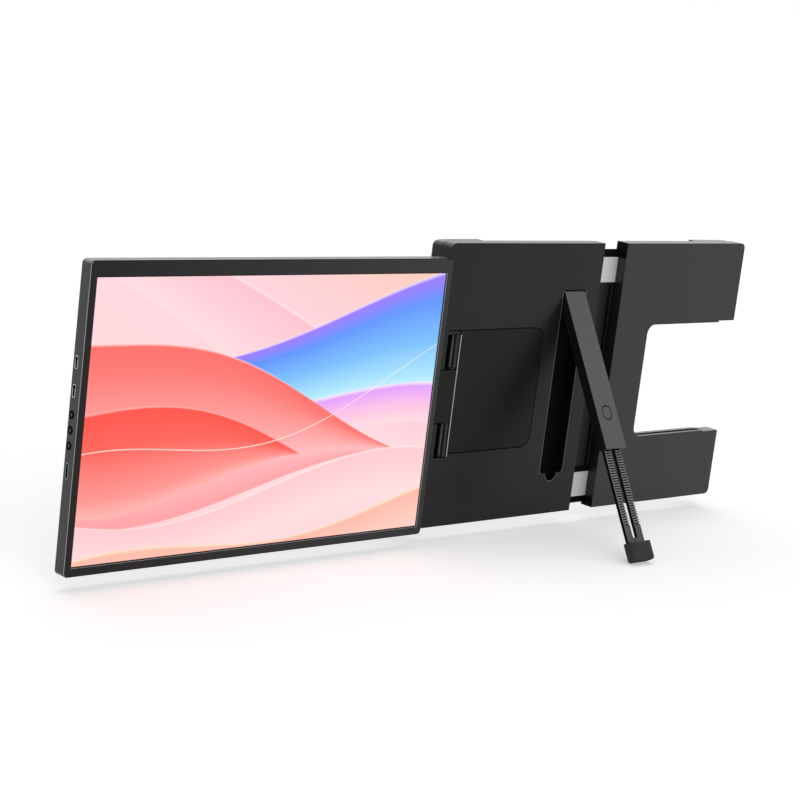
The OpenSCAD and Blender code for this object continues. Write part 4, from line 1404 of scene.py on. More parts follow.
@dataclass
class DisplayUnit:
    """The display: shell, bezel, lit panel, sockets and buttons, in mm."""

    x: Span = (-398.6, -85.1)
    z: Span = (-109.15, 96.95)
    d: Span = (-6.0, 4.5)
    corner: float = 3.2
    bezel_t: float = 0.6
    lit_x: Span = (-393.2, -90.1)
    lit_z: Span = (-103.15, 86.45)
    wall: float = 1.6
    centre_d: float = 0.7
    usb: tuple[WallItem, ...] = (WallItem(31.0, 8.9, 3.2), WallItem(12.5, 8.9, 3.2))
    video: WallItem = WallItem(-39.8, 11.2, 3.2)
    buttons: tuple[float, ...] = (-3.0, -13.1, -23.2)
    button_r: float = 2.3
    # Width of the painted shade band round the back's rim
    dish_r: float = 1.4
    band_w: float = 0.75
    panel_inset: float = 7.0
    panel_seam: float = 0.4
    panel_r: float = 6.0
    shaft_z: float = -7.2
    shaft_r: float = 2.2
    cap_t: float = 2.2
    dish_sphere_r: float = 6.0

    def mouth(self, item: WallItem, grow: float, x: Span) -> Obj:
        """Make a long round-ended plug through the left wall.

        Args:
            item: the socket.
            grow: how much larger than the socket, in mm.
            x: the plug's limits in mm.

        Returns:
            The plug.
        """
        half, r = item.long / 2 + grow, item.high / 2 + grow
        middle = ((x[0] + x[1]) / 2, self.centre_d)
        plug = block("mouth", x, (item.z - half + r, item.z + half - r),
                     (self.centre_d - r, self.centre_d + r))
        for z in (item.z - half + r, item.z + half - r):
            fuse(plug, bar("end", Axis.X, (*middle, z), r, x[1] - x[0], 40))
        return plug

    def build_shell(self) -> Obj:
        """Build the display's shell with its rounded rear rim and the openings in its wall.

        Returns:
            The shell.
        """
        front, back = self.d[0] + self.bezel_t + 0.05, self.d[1]
        shell = plate("display_housing", self.x, self.z, (front, back), self.corner)
        # Painted shade on the rounded rim of the back
        round_edges(shell, 0.7, 4, lambda x, d, z: d > back - NEAR, finish=Finish.RECESS)
        round_edges(shell, 0.15, 1, lambda x, d, z: d < front + NEAR)
        # Painted shade: a dark band runs round the rim of the back
        band = back - self.band_w
        split(shell, Across.DEPTH, band)
        mark(shell, Finish.RECESS, lambda at, normal: at.y > band and abs(normal.y) < 0.9)
        inner_x = (self.x[0] + self.wall, self.x[1] - self.wall)
        inner_z = (self.z[0] + self.wall, self.z[1] - self.wall)
        cut(shell, plate("hollow", inner_x, inner_z, (self.d[0] - OVER, back - 1.2), self.wall))
        through = (self.x[0] - OVER, self.x[0] + self.wall + OVER)
        # Painted shade inside the sockets' mouths and the buttons' holes
        for item in (*self.usb, self.video):
            cut(shell, paint_shade_inside(self.mouth(item, 0.1, through)))
        for z in self.buttons:
            cut(shell, paint_shade_inside(bar("hole", Axis.X, (self.x[0], self.centre_d, z),
                                    self.button_r + 0.6, 6.0, 40)))
        cut(shell, bar("shaft_hole", Axis.X, (self.x[1], 0.0, self.shaft_z), self.shaft_r, 6.0, 40))
        # Shallow seam of the back's inner panel, with painted shade inside
        seam = self.panel(self.panel_inset, (back - 0.3, back + OVER))
        cut(seam, self.panel(self.panel_inset + self.panel_seam, (back - OVER, back + 2 * OVER)))
        cut(shell, paint_shade_inside(seam))
        return finish_surface(shell)

    def panel(self, inset: float, d: Span) -> Obj:
        """Make a solid of the back's inner panel.

        Args:
            inset: how far it lies inside the display's outline, in mm.
            d: its depths in mm.

        Returns:
            The solid.
        """
        x = (self.x[0] + inset, self.x[1] - inset)
        z = (self.z[0] + inset, self.z[1] - inset)
        return plate("panel", x, z, d, self.panel_r + self.panel_inset - inset)

    def build_bezel(self) -> Obj:
        """Build the front frame with its chamfered rims, with painted highlights and painted shade on
        them.

        Returns:
            The frame.
        """
        low, high = self.d[0], self.d[0] + self.bezel_t
        bezel = plate("display_frame", self.x, self.z, (low, high), self.corner)
        # Painted highlight on the left front chamfer, painted shade on the chamfers facing up and down
        round_edges(bezel, 0.42, 2, lambda x, d, z: d < low + NEAR, finish=Finish.EDGE)
        mark(bezel, Finish.MAIN, lambda at, normal: at.x > self.x[0] + 4.0)
        mark(bezel, Finish.RECESS, lambda at, normal: abs(normal.z) > 0.3 and normal.y < -0.3)
        cut(bezel, block("opening", self.lit_x, self.lit_z, (low - OVER, high + OVER)))
        (left, right), (bottom, top) = self.lit_x, self.lit_z
        # Painted highlight on the inner rim, painted shade along its top, its left side plain
        round_edges(bezel, 0.32, 1, lambda x, d, z: d < low + NEAR and left - 0.2 < x < right + 0.2
                    and bottom - 0.2 < z < top + 0.2, finish=Finish.EDGE)
        mark(bezel, Finish.RECESS, lambda at, normal: abs(at.z - top) < 1.0 and normal.z < -0.3)
        mark(bezel, Finish.MAIN, lambda at, normal: abs(at.x - left) < 1.0 and normal.x > 0.3)
        return finish_surface(bezel)

    def build_gasket(self) -> Obj:
        """Build the thin dark strip between the frame and the panel.

        Returns:
            The strip.
        """
        depth = (self.d[0] + 0.35, self.d[0] + self.bezel_t - NEAR)
        thin, wide = 0.3, 0.85
        gasket = block("screen_gasket", (self.lit_x[0] - 0.4, self.lit_x[1] + 0.4),
                       (self.lit_z[0] - 0.4, self.lit_z[1] + 0.4), depth)
        cut(gasket, block("inside", (self.lit_x[0] + thin, self.lit_x[1] - wide),
                          (self.lit_z[0] + wide, self.lit_z[1] - thin), (depth[0] - 1.0, depth[1] + 1.0)))
        return finish_surface(gasket)

    def build_sockets(self) -> list[Obj]:
        """Build the metal sockets, each with a tongue inside.

        Returns:
            The sockets, the upper one first.
        """
        made = []
        for name, item, length in (("usb_socket_upper", self.usb[0], 7.4),
                                   ("usb_socket_lower", self.usb[1], 7.4),
                                   ("video_socket_shell", self.video, 7.6)):
            x0 = self.x[0] + 0.02
            shell = self.mouth(item, 0.0, (x0, x0 + length))
            # Painted shade inside the socket, and its tongue wears the same dark recess finish
            cut(shell, paint_shade_inside(self.mouth(item, -0.5, (x0 - 1.0, x0 + length - 0.4))))
            half = item.long / 2 - 1.6
            tongue = block("tongue", (x0 + 1.2, x0 + length - 0.1), (item.z - half, item.z + half),
                           (self.centre_d - 0.35, self.centre_d + 0.35))
            round_edges(tongue, 0.15, 1, lambda x, d, z: x < x0 + 1.2 + NEAR)
            fuse(shell, paint_shade_inside(tongue))
            finish_surface(shell)
            shell.name = shell.data.name = name
            made.append(shell)
        return made

    def build_button(self, name: str, z: float) -> Obj:
        """Build one side button with a dished cap and a retaining rim.

        Args:
            name: name of the button.
            z: its height in mm.

        Returns:
            The button.
        """
        face = self.x[0] - 0.5
        cap = bar(name, Axis.X, (face + self.cap_t / 2, self.centre_d, z), self.button_r, self.cap_t, 48)
        round_edges(cap, 0.35, 3, lambda x, d, z_: x < face + NEAR)
        reach = self.dish_sphere_r - 0.35
        cut(cap, ball((face - reach, self.centre_d, z), self.dish_sphere_r, 40))
        rim = bar("rim", Axis.X, (self.x[0] + self.wall + 0.4, self.centre_d, z), 2.6, 0.6, 40)
        fuse(cap, rim)
        finish_surface(cap)
        # Painted shade: all but the cap's dish wears the dark recess finish, a dark ring round the button
        return mark(cap, Finish.RECESS, lambda at, normal: math.hypot(
            at.y - self.centre_d, at.z - z) > self.dish_r or normal.x > -0.5)

    def build(self, palette: Palette) -> None:
        """Build, dress and register the display's pieces.

        Args:
            palette: the finishes.
        """
        register(dress(self.build_shell(), palette.display, recess=palette.recess), "display",
                 ["display_shell"])
        register(dress(self.build_bezel(), palette.bezel, palette.edge, palette.recess), "display",
                 ["display_bezel"])
        register(dress(self.build_gasket(), palette.gasket), "display", [])
        for obj, node in zip(self.build_sockets(), ("usb_upper", "usb_lower", "video_socket")):
            shell = palette.steel if node == "video_socket" else palette.socket
            register(dress(obj, shell, recess=palette.recess), "display", [node])
        for place, z in zip(("upper", "middle", "lower"), self.buttons):
            cap = self.build_button(f"side_button_{place}", z)
            register(dress(cap, palette.display, recess=palette.recess), f"button_{place}_body",
                     [f"button_{place}"])


# Bracket


@dataclass
class SlidingBracket:
    """The C-shaped bracket with its tongue and rails, in mm."""

    x: Span = (109.05, 255.65)
    half_h: float = 107.25
    spine_x: float = 147.35
    notch_z: Span = (-51.0, 41.1)
    end_x: float = 236.0
    end_z: Span = (-51.9, 42.4)
    corner: float = 4.5
    inner: float = 8.0
    cover_d: float = 11.0
    back_d: float = 12.0
    tongue_x: Span = (-29.35, 145.25)
    tongue_z: Span = (-104.65, 100.95)
    tongue_d: Span = (9.3, 10.8)
    rail_x: Span = (-25.35, 120.54)
    rails: tuple[tuple[str, Span], ...] = (
        ("upper", (74.75, 94.75)), ("lower", (-99.15, -79.15)))
    slot_z: Span = (-104.85, 101.15)
    slot_d: float = 8.4
    lip_d: Span = (2.4, 7.4)
    lip_w: float = 1.1
    tongue_slots: tuple[tuple[Span, Span], ...] = (
        ((-23.0, 121.0), (-78.9, -74.3)), ((103.6, 107.3), (-74.31, 72.4)))
    screws: tuple[tuple[float, float], ...] = (
        (244.65, 96.25), (244.65, 52.85), (244.65, -62.75), (244.65, -96.25),
        (156.35, 96.25), (156.35, -96.25))
    pad_x: Span = (135.35, 195.35)
    pad_z: tuple[float, float] = (74.55, -79.5)
    pad_h: float = 24.0
    pad_channel_x: Span = (141.0, 190.0)

    def rail_ends(self) -> Span:
        """Give the heights of the rails' outer sides."""
        return self.rails[1][1][0], self.rails[0][1][1]

    def notch(self, d: Span, grow: float = 0.0) -> Obj:
        """Make a solid of the space between the arms.

        Args:
            d: its depths in mm.
            grow: how much it is larger all round, in mm.

        Returns:
            The solid.
        """
        return plate("notch", (self.spine_x - grow, self.x[1] + 20.0),
                     (self.notch_z[0] - grow, self.notch_z[1] + grow), d, self.inner + grow,
                     lambda x, dd, z: x < self.spine_x + 1.0, 10)

    def build_front(self) -> Obj:
        """Build the front shell with its stepped notch and the tongue's slot.

        Returns:
            The shell.
        """
        h = self.half_h
        shell = plate("bracket_shell", self.x, (-h, h), (0.0, self.cover_d - 0.1), self.corner,
                      lambda x, d, z: x > self.spine_x)
        cut(shell, self.notch((-1.0, self.back_d + 1.0)),
            block("ends", (self.end_x, self.x[1] + 1.0), self.end_z, (-1.0, self.back_d + 1.0)))
        # Groove round the inside of the notch, behind its front lip
        groove = self.notch(self.lip_d, self.lip_w)
        cut(groove, block("stop", (self.end_x, self.x[1] + 30.0), (-90.0, 90.0), (0.0, 12.0)))
        cut(shell, groove)
        # Painted shade inside the tongue's slot
        cut(shell, paint_shade_inside(block("slot", (self.x[0] - OVER, self.tongue_x[1] + 0.5), self.slot_z,
                                  (self.slot_d, self.back_d))))
        round_edges(shell, 0.24, 2, lambda x, d, z: d < NEAR)
        round_edges(shell, 0.15, 1, lambda x, d, z: abs(d - self.cover_d + 0.1) < NEAR
                    and (abs(z) > h - 5.0 or x > self.x[1] - 5.0), 60.0)
        # Painted shade: the left wall is dark beyond the rails, where shadow falls
        lower, upper = self.rail_ends()
        for z in (upper, lower):
            split(shell, Across.Z, z)
        finish_surface(shell)
        return mark(shell, Finish.RECESS, lambda at, normal: at.x < self.x[0] + 0.1
                    and normal.x < -0.9 and not lower < at.z < upper)

    def build_cover(self) -> Obj:
        """Build the rear cover of the bracket.

        Returns:
            The cover.
        """
        h = self.half_h
        cover = plate("bracket_cover", self.x, (-h, h), (self.cover_d, self.back_d), self.corner,
                      lambda x, d, z: x > self.spine_x)
        cut(cover, self.notch((self.cover_d - 1.0, self.back_d + 1.0)),
            block("ends", (self.end_x, self.x[1] + OVER), self.end_z,
                  (self.cover_d - OVER, self.back_d + OVER)))
        round_edges(cover, 0.8, 3, lambda x, d, z: d > self.back_d - NEAR)
        cut(cover, *ScrewStyle().wells(self.screws, self.back_d))
        return finish_surface(cover)

    def build_tongue(self) -> Obj:
        """Build the black tongue with its slots, with painted shade in them and beyond the rails.

        Returns:
            The tongue.
        """
        tongue = block("slide_tongue", self.tongue_x, self.tongue_z, self.tongue_d)
        low = self.tongue_d[0]
        # Painted shade inside the slots
        for x, z in self.tongue_slots:
            cut(tongue, paint_shade_inside(block("slot", x, z, (9.0, 9.9))))
        round_edges(tongue, 0.2, 1, lambda x, d, z: d < low + NEAR, 60.0)
        lower, upper = self.rail_ends()
        for z in (upper, lower):
            split(tongue, Across.Z, z)
        finish_surface(tongue)
        # Painted shade on the tongue beyond the rails
        return mark(tongue, Finish.RECESS, lambda at, normal: not lower < at.z < upper)

    def build_rail(self, place: str, z: Span) -> Obj:
        """Build one rail with raised edges along its length.

        Args:
            place: upper or lower.
            z: its limits in mm.

        Returns:
            The rail.
        """
        rail = block(f"rail_{place}_strip", self.rail_x, z, (8.5, 9.3))
        cut(rail, block("bed", (self.rail_x[0] - 1.0, self.rail_x[1] + 1.0), (z[0] + 1.6, z[1] - 1.6),
                        (8.0, 8.72)))
        round_edges(rail, 0.14, 2, lambda x, d, z_: d < 8.73, 60.0)
        return finish_surface(rail)

    def build_pads(self) -> Obj:
        """Build the two silicone pads on the arms' rear, with grip channels.

        Returns:
            Both pads as one object.
        """
        made = []
        for middle in self.pad_z:
            pad = GripPad(self.pad_x, (middle - self.pad_h / 2, middle + self.pad_h / 2),
                          self.pad_channel_x, middle - 8.8, 4, 5.6)
            made.append(pad.build("pad"))
        return finish_surface(gather("bracket_pad_grips", made))

    def build(self, palette: Palette) -> None:
        """Build, dress and register the bracket's pieces.

        Args:
            palette: the finishes.
        """
        register(dress(self.build_front(), palette.bracket, recess=palette.recess), "bracket",
                 ["bracket_front"])
        register(dress(self.build_cover(), palette.bracket), "bracket", ["bracket_rear"])
        register(dress(self.build_tongue(), palette.tongue, recess=palette.recess), "bracket",
                 ["tongue"])
        for place, z in self.rails:
            register(dress(self.build_rail(place, z), palette.rail), "bracket",
                     [f"rail_{place}"])
        register(dress(self.build_pads(), palette.silicone), "bracket", ["bracket_pads"])
        heads = ScrewStyle().heads("bracket_screw_heads", self.screws, self.back_d - 0.02)
        register(dress(heads, palette.steel), "bracket", ["bracket_screws"])


# Lid claws


class Side(Enum):
    """Which end of the extender a claw stands at, as the sign of X."""

    LEFT = -1
    RIGHT = 1


@dataclass
class LidClaw:
    """One claw that grips the lid's edge, with its silicone strip, in mm."""

    name: str
    side: Side
    edge: float
    z: Span
    top_len: float
    wall: float = 3.2
    reach: float = 8.0
    back: Span = (11.16, 22.48)
    lip_d: float = 19.2
    pad_t: float = 0.8
    corner: float = 4.5
    past: float = 80.0

    def across(self, start: float, end: float) -> Span:
        """Turn two distances from the outer edge into limits along X."""
        a, b = (self.edge - self.side.value * start, self.edge - self.side.value * end)
        return (min(a, b), max(a, b))

    def build_claw(self) -> Obj:
        """Build the walls and the lip, with rounded outer edges.

        Returns:
            The claw.
        """
        is_top = self.top_len > 0
        length = self.top_len if is_top else self.reach
        claw = block(self.name, self.across(0.0, length), self.z, self.back)
        outer = self.edge
        end_z = self.z[1] if is_top else self.z[0]
        round_uprights(claw, self.corner, lambda x, d, z: abs(x - outer) < NEAR and abs(z - end_z) < NEAR)
        top = self.z[1] - self.wall if is_top else self.z[1] + 1.0
        low = self.z[0] - 1.0
        cut(claw, block("gap", self.across(self.wall, self.past), (low, top),
                        (self.back[0] - OVER, self.lip_d)))
        if is_top:
            cut(claw, plate("inside", self.across(self.reach, self.past), (low, self.z[1] - self.reach),
                            (self.back[0] - OVER, self.back[1] + OVER), 3.0))
        rim, near = self.back[1] - NEAR, self.corner + 0.1
        round_edges(claw, 3.1, 6, lambda x, d, z: d > rim and abs(x - outer) < length - 0.5
                    and (abs(x - outer) < near or is_top and z > end_z - near))
        round_edges(claw, 0.35, 2, lambda x, d, z: d > 12.01, 55.0)
        return finish_surface(claw)

    def build_strip(self) -> Obj:
        """Build the thin silicone strip on the lip's inner face.

        Returns:
            The strip.
        """
        d = (self.lip_d - self.pad_t, self.lip_d)
        is_top = self.top_len > 0
        length = self.top_len - 0.6 if is_top else self.reach - 0.6
        low = self.z[0] + (0.6 if is_top else self.corner)
        high = self.z[1] - (self.wall if is_top else 0.6)
        strip = block(f"{self.name}_strip", self.across(self.wall, length), (low, high), d)
        if is_top:
            cut(strip, block("inside", self.across(self.reach - 0.6, self.past),
                             (low - OVER, self.z[1] - self.reach + 0.6), (d[0] - OVER, d[1] + OVER)))
        round_edges(strip, 0.25, 2, lambda x, dd, z: dd < d[0] + NEAR)
        return finish_surface(strip)

    def build(self, palette: Palette) -> None:
        """Build, dress and register the claw and its strip.

        Args:
            palette: the finishes.
        """
        left = self.side is Side.LEFT
        body = "body" if left else "bracket"
        node = self.name.replace("_grip", "")
        register(dress(self.build_claw(), palette.case if left else palette.bracket), body, [node])
        register(dress(self.build_strip(), palette.silicone), body,
                 [node.replace("claw", "claw_pad")])


# Kickstand


@dataclass
class Kickstand:
    """The kickstand, built upright about its pivot and then swung out, in mm.

    n runs from its front face inwards and s runs down its length from the head.
    """

    pivot: tuple[float, float, float] = (55.05, -8.5, 68.25)
    angle: float = -30.2
    face_n: float = 4.2
    head_drop: float = 1.1
    half_w: float = 11.3
    thick: float = 8.2
    length: float = 125.5
    leg_half: float = 9.1
    slot_half: float = 2.4
    leg_n: Span = (4.4, 7.2)
    leg_s: Span = (88.8, 197.8)
    pitch: float = 2.0
    teeth: int = 47
    rib_l: float = 6.2
    release_s: float = 97.1
    release_r: float = 5.3
    release_oval: float = 0.88
    dish_sphere_r: float = 40.0
    tooth_r: float = 0.88
    rib_gap: float = 0.98
    foot_s: float = 15.0
    foot_n: Span = (0.2, 8.2)
    foot_corner: float = 2.6

    def local(self, name: str, x: Span, s: Span, n: Span) -> Obj:
        """Add a box in the kickstand's own frame."""
        z = (self.height(s[1]), self.height(s[0]))
        return block(name, x, z, (self.depth(n[0]), self.depth(n[1])))

    def local_bar(self, name: str, s: float, n: Span, radius: float, sides: int = 56) -> Obj:
        """Add a round bar through the kickstand's thickness."""
        centre = (0.0, self.depth((n[0] + n[1]) / 2), self.height(s))
        return bar(name, Axis.Y, centre, radius, n[1] - n[0], sides)

    def narrowed(self, obj: Obj) -> Obj:
        """Make a round solid slightly oval, narrower from side to side."""
        obj.data.transform(Matrix.Diagonal((self.release_oval, 1.0, 1.0, 1.0)))
        return obj

    def depth(self, n: float) -> float:
        """Give the bench's depth of a place across the arm's thickness."""
        return n - self.face_n - FACE_Y

    def height(self, s: float) -> float:
        """Give the bench's height of a place along the arm."""
        return -(s + self.head_drop)

    def swing_out(self, obj: Obj) -> Obj:
        """Turn a piece to the stand's angle and put it at its pivot.

        Args:
            obj: the piece.

        Returns:
            The piece.
        """
        turn = Matrix.Rotation(math.radians(self.angle), 4, "X")
        obj.data.transform(Matrix.Translation(Vector(self.pivot) * MM) @ turn)
        obj.data.update()
        return obj

    def build_arm(self, palette: Palette) -> Obj:
        """Build the arm with its rounded head, the leg's channel and the button's well.

        Args:
            palette: the finishes.

        Returns:
            The arm.
        """
        w = self.half_w
        arm = self.local("stand_arm_case", (-w, w), (-1.9, self.length), (0.0, self.thick))
        head = self.depth(0.0)
        round_edges(arm, 2.6, 5, lambda x, d, z: z > 0 and d < head + NEAR)
        back = self.depth(self.thick)
        round_edges(arm, 3.0, 5, lambda x, d, z: z > 0.7 and d > back - NEAR)
        # The button's well is cut with painted shade inside
        cut(arm, self.local("channel", (-self.leg_half - 0.15, self.leg_half + 0.15),
                            (14.0, self.length + 1.0), (self.leg_n[0] - 0.1, self.leg_n[1] + 0.1)),
            paint_shade_inside(self.narrowed(self.local_bar("well", self.release_s, (-1.0, 2.6),
                                                  self.release_r + 0.5))),
            self.local_bar("stem_hole", self.release_s, (2.0, self.leg_n[0]), 1.8))
        pin = bar("pin_hole", Axis.X, (0.0, -FACE_Y, 0.0), 1.27, 2 * w + 4.0, 32)
        cut(arm, pin)
        round_edges(arm, 0.3, 2, lambda x, d, z: (d < head + NEAR or d > back - NEAR or abs(x) > w - NEAR)
                    and z < -3.0, 60.0)
        finish_surface(arm)
        well = self.height(self.release_s)
        # Painted shade: the sides, back and lower end wear the darker copy of the stand's plastic
        mark(arm, Finish.EDGE, lambda at, normal: abs(at.x) > self.release_r + 1.0 and abs(normal.x) > 0.8
             or at.y > head + 1.2 and abs(at.z - well) > self.release_r + 1.0
             or at.z < self.height(self.length) + 0.05)
        dress(arm, palette.stand_front, palette.stand_side, palette.recess)
        return self.swing_out(arm)

    def build_button(self) -> Obj:
        """Build the release button with a shallow dish and its stem.

        Returns:
            The button.
        """
        top = self.depth(0.0)
        cap = self.narrowed(self.local_bar("release_cap", self.release_s, (0.0, 1.6),
                                           self.release_r - 0.3))
        round_edges(cap, 0.15, 2, lambda x, d, z: d < top + NEAR)
        reach = self.dish_sphere_r - 0.25
        cut(cap, ball((0.0, top - reach, self.height(self.release_s)), self.dish_sphere_r, 56))
        fuse(cap, self.local_bar("stem", self.release_s, (1.2, self.leg_n[0] + 0.3), 1.7, 32))
        return self.swing_out(finish_surface(cap))

    def build_leg(self) -> Obj:
        """Build the forked leg with ribs and saw teeth along the right of both prongs, with painted
        highlights on the rib tops and painted shade in the gaps and on the left faces.

        Returns:
            The leg.
        """
        low, high = self.leg_s
        leg = self.local("fork_leg", (-self.leg_half, self.leg_half), (low, high + 9.0), self.leg_n)
        end = high - 2.9 - self.slot_half
        slot = self.local("slot", (-self.slot_half, self.slot_half), (low - 1.0, end), (3.0, 9.0))
        fuse(slot, self.local_bar("slot_end", end, (3.0, 9.0), self.slot_half, 40))
        cut(leg, slot)
        front = self.depth(self.leg_n[0])
        round_edges(leg, 0.35, 2, lambda x, d, z: d < front + NEAR and z > self.height(high), 60.0)
        last = self.height(low + self.pitch * (self.teeth + 1.2))
        for right in (-self.slot_half, self.leg_half):
            # Each rib gap is a short bar with a rounded inner end, cut into the prong's face, with painted
            # shade inside
            start = low + self.pitch * 1.2
            gap = self.local("gap", (right - self.rib_l, right + 1.0), (start, start + self.rib_gap),
                             (self.leg_n[0] - 1.0, self.leg_n[0] + 0.85))
            round_uprights(gap, 0.45, lambda x, d, z: x < right - self.rib_l + 0.6, 3)
            cut(leg, paint_shade_inside(repeat(gap, self.teeth, (0.0, 0.0, -self.pitch))))
            split(leg, Across.X, right - self.rib_l)
            # Saw teeth in the prong's right edge
            settle()
            bpy.ops.mesh.primitive_cylinder_add(
                vertices=3, radius=self.tooth_r * MM, depth=6.0 * MM,
                location=Vector((right + 0.2, self.leg_n[0] - self.face_n + 1.4,
                                 self.height(low + self.pitch * 1.4))) * MM,
                rotation=Euler((math.pi / 2, math.radians(30.0), 0.0)))
            tooth = bpy.context.object
            bake_place(tooth)
            cut(leg, repeat(tooth, self.teeth, (0.0, 0.0, -self.pitch)))
        finish_surface(leg, 28.0)
        # Painted highlight on the rib tops
        mark(leg, Finish.EDGE, lambda at, normal: normal.y < -0.9 and at.y < front + 0.05
             and last < at.z < self.height(low + self.pitch) and any(
                 right - self.rib_l < at.x < right for right in (-self.slot_half, self.leg_half)))
        # Painted shade on the faces that look left
        mark(leg, Finish.RECESS, lambda at, normal: normal.x < -0.9)
        return self.swing_out(leg)

    def build_foot(self) -> Obj:
        """Build the rubber foot with rounded lower corners and a ribbed sole.

        Returns:
            The foot.
        """
        top = self.leg_s[1]
        end = top + self.foot_s
        foot = self.local("rubber_foot", (-self.half_w, self.half_w), (top, end), self.foot_n)
        sole = self.height(end)
        front, back = (self.depth(n) for n in self.foot_n)
        round_uprights(foot, self.foot_corner, lambda x, d, z: z < sole + 0.1)
        round_edges(foot, 1.5, 5, lambda x, d, z: d < front + NEAR and z < self.height(top) + NEAR
                    and (abs(x) > self.half_w - self.foot_corner - 0.1 or z < sole + 0.1), 60.0)
        round_edges(foot, 0.5, 2, lambda x, d, z: d > back - NEAR, 60.0)
        line = self.local("line", (-7.6, -6.8), (end - 0.4, end + OVER), (-1.0, 9.5))
        cut(foot, repeat(line, 10, (1.6, 0.0, 0.0)))
        cut(foot, self.local("seat", (-self.leg_half, self.leg_half), (top - 1.0, top + 9.0), self.leg_n))
        return self.swing_out(finish_surface(foot))

    def build(self, palette: Palette) -> None:
        """Build, dress and register the kickstand's pieces.

        Args:
            palette: the finishes.
        """
        register(self.build_arm(palette), "kickstand", ["stand_arm"])
        register(dress(self.build_button(), palette.stand_front), "release",
                 ["release_button"])
        register(dress(self.build_leg(), palette.leg, palette.rib, palette.recess), "leg",
                 ["stand_leg"])
        register(dress(self.build_foot(), palette.foot), "leg", ["stand_foot"])


# Nodes carried over from the CAD


@dataclass
class CarriedNodes:
    """CAD nodes whose own shape is right, and the finish that each gets."""

    def build(self, palette: Palette) -> None:
        """Dress the nodes.

        Args:
            palette: the finishes.
        """
        finishes = {
            palette.screen: ("lcd_panel",),
            palette.acrylic: ("light_guide",),
            palette.board: ("driver_board",),
            palette.steel: ("leaf_screws", "hinge_pin", "stand_pin", "swivel_shaft", "swivel_ring",
                            "tongue_screws", "swivel_housing", "release_pawl", "tact_switches"),
            palette.nylon: ("glide_upper", "glide_lower", "friction_washers", "swivel_washer"),
        }
        for material, names in finishes.items():
            for name in names:
                dress(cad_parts[name], material)


# Studio


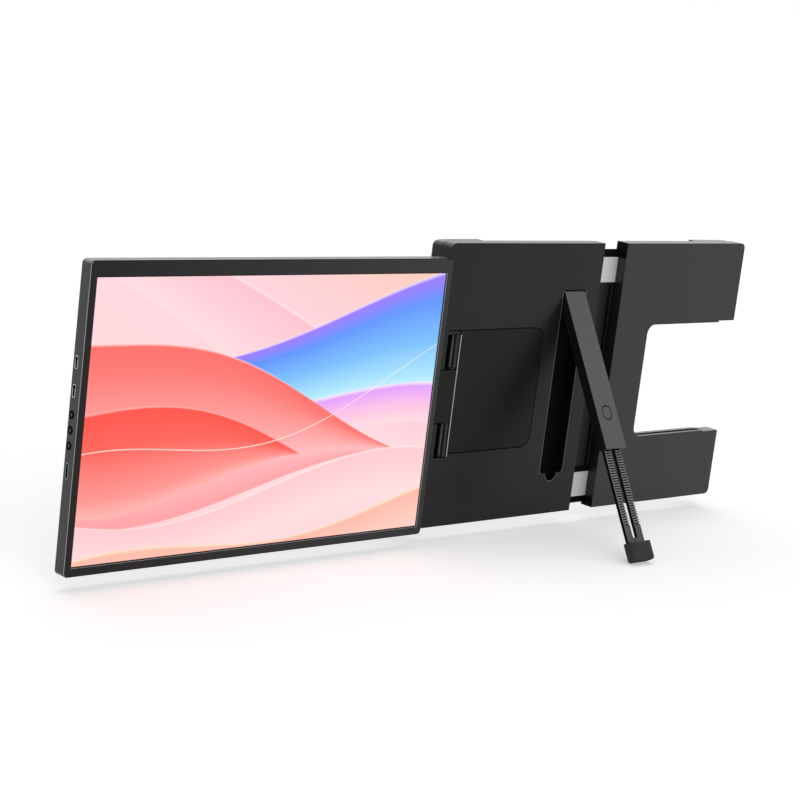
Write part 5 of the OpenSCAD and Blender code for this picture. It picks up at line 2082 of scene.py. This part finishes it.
@dataclass
class Studio:
    """Camera, floor, lamps and world."""

    eye: tuple[float, float, float] = (-1157.76, -1101.87, 296.88)
    azimuth: float = 43.7253
    pitch: float = 11.4157
    roll: float = 6.9203
    lens: float = 95.94
    sensor: float = 36.0
    floor_z: float = -119.0
    floor_size: float = 400.0
    floor_tone: float = 0.80
    seen_lift: float = 0.40
    mirrored_lift: float = 0.24
    world_tone: float = 0.48
    horizon_tone: float = 0.80
    ceiling_tone: float = 0.36
    back_gain: float = 0.36
    soft_box: float = 2.4
    fall_z: Span = (0.30, 0.75)
    behind_y: Span = (0.15, 0.55)
    soft_box_z: Span = (0.32, 0.50)
    lamps: tuple[tuple[str, float, float, float, float], ...] = (
        ("overhead", -150.0, 72.0, 50.0, 0.75), ("front", 20.0, 38.0, 35.0, 0.45))

    def add_camera(self) -> None:
        """Put the camera at the photograph's viewing angle."""
        az, down, roll = (math.radians(v) for v in (self.azimuth, self.pitch, self.roll))
        look = Vector((math.sin(az) * math.cos(down), math.cos(az) * math.cos(down), -math.sin(down)))
        level = look.cross(Vector((0.0, 0.0, 1.0))).normalized()
        upright = level.cross(look)
        right = level * math.cos(roll) + upright * math.sin(roll)
        up = right.cross(look)
        turn = Matrix((right, up, -look)).transposed()
        data = bpy.data.cameras.new("camera")
        data.lens = self.lens
        data.sensor_width = self.sensor
        data.sensor_fit = "HORIZONTAL"
        data.clip_end = 500.0
        camera = bpy.data.objects.new("camera", data)
        camera.matrix_world = Matrix.Translation(Vector(self.eye) * MM) @ turn.to_4x4()
        bpy.context.scene.collection.objects.link(camera)
        bpy.context.scene.camera = camera

    def add_floor(self) -> None:
        """Lay a plain pale floor that keeps the object's shadow."""
        settle()
        bpy.ops.mesh.primitive_plane_add(size=self.floor_size, location=(0.0, 0.0, self.floor_z * MM))
        floor = bpy.context.object
        floor.name = "floor"
        w = Skin("pale_floor")
        diffuse = w.add("ShaderNodeBsdfDiffuse", Color=(self.floor_tone,) * 3 + (1.0,))
        rays = w.add("ShaderNodeLightPath")
        mirrored = w.sum("MULTIPLY", rays.outputs["Is Glossy Ray"], self.mirrored_lift)
        lift = w.sum("MULTIPLY_ADD", rays.outputs["Is Camera Ray"], self.seen_lift, third=mirrored)
        glow = w.add("ShaderNodeEmission", Strength=lift)
        both = w.tree.nodes.new("ShaderNodeAddShader")
        w.tree.links.new(diffuse.outputs[0], both.inputs[0])
        w.tree.links.new(glow.outputs[0], both.inputs[1])
        w.tree.links.new(both.outputs[0], w.output.inputs["Surface"])
        dress(floor, w.material)

    def add_world(self) -> None:
        """Surround the scene with a pale world, white where it is seen and graded where it is mirrored."""
        world = bpy.data.worlds.new("studio")
        bpy.context.scene.world = world
        world.use_nodes = True
        w = Wiring(world.node_tree)
        rays = w.add("ShaderNodeLightPath").outputs
        seen_from = w.add("ShaderNodeTexCoord").outputs["Generated"]
        direction = w.add("ShaderNodeSeparateXYZ", Vector=seen_from).outputs
        # The mirrored world is brighter behind the object, with a soft box high at the back
        fall = w.spread(direction["Z"], self.horizon_tone, self.ceiling_tone, self.fall_z)
        behind = w.spread(direction["Y"], 0.0, 1.0, self.behind_y)
        high = w.spread(direction["Z"], 0.0, self.soft_box, self.soft_box_z)
        gain = w.sum("MULTIPLY", behind, w.sum("ADD", high, self.back_gain))
        mirrored = w.sum("ADD", fall, gain)
        glossy = w.spread(rays["Is Glossy Ray"], self.world_tone, mirrored)
        seen = w.spread(rays["Is Camera Ray"], glossy, 1.0)
        strength = w.spread(rays["Is Transmission Ray"], seen, 1.0)
        back = w.add("ShaderNodeBackground", Color=(1.0, 1.0, 1.0, 1.0), Strength=strength)
        w.add("ShaderNodeOutputWorld", Surface=back.outputs[0])

    def add_lamp(self, name: str, heading: float, height: float, spread: float,
                 power: float) -> None:
        """Add one soft even lamp, far away.

        Args:
            name: the lamp's name.
            heading: the side it stands on, in degrees from the front towards the left.
            height: how high it stands, in degrees.
            spread: how wide it looks, in degrees.
            power: its strength in watts a square metre.
        """
        data = bpy.data.lights.new(name, "SUN")
        data.energy = power
        data.angle = math.radians(spread)
        lamp = bpy.data.objects.new(name, data)
        side, up = math.radians(heading), math.radians(height)
        place = Vector((-math.sin(side) * math.cos(up), -math.cos(side) * math.cos(up), math.sin(up)))
        lamp.rotation_euler = (-place).to_track_quat("-Z", "Y").to_euler()
        bpy.context.scene.collection.objects.link(lamp)

    def build(self) -> None:
        """Set the studio up."""
        self.add_camera()
        self.add_floor()
        self.add_world()
        for lamp in self.lamps:
            self.add_lamp(*lamp)
        view = bpy.context.scene.view_settings
        view.view_transform = "Standard"


def main() -> None:
    """Build the studio and every sub-assembly, in order."""
    logging.basicConfig(level=logging.INFO, format="%(name)s: %(message)s")
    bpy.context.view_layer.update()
    Studio().build()
    palette = Palette()
    claws = (
        LidClaw("claw_upper_left_grip", Side.LEFT, -82.65, (47.25, 106.5), 46.5),
        LidClaw("claw_lower_left_grip", Side.LEFT, -82.65, (-107.25, -48.25), 0.0),
        LidClaw("claw_upper_right_grip", Side.RIGHT, 255.65, (47.25, 106.5), 46.5),
        LidClaw("claw_lower_right_grip", Side.RIGHT, 255.65, (-107.25, -61.25), 0.0),
    )
    for assembly in (BodyCase(), HingeSet(), DisplayUnit(), SlidingBracket(), *claws, Kickstand(),
                     CarriedNodes()):
        assembly.build(palette)


if __name__ == "__main__":
    main()
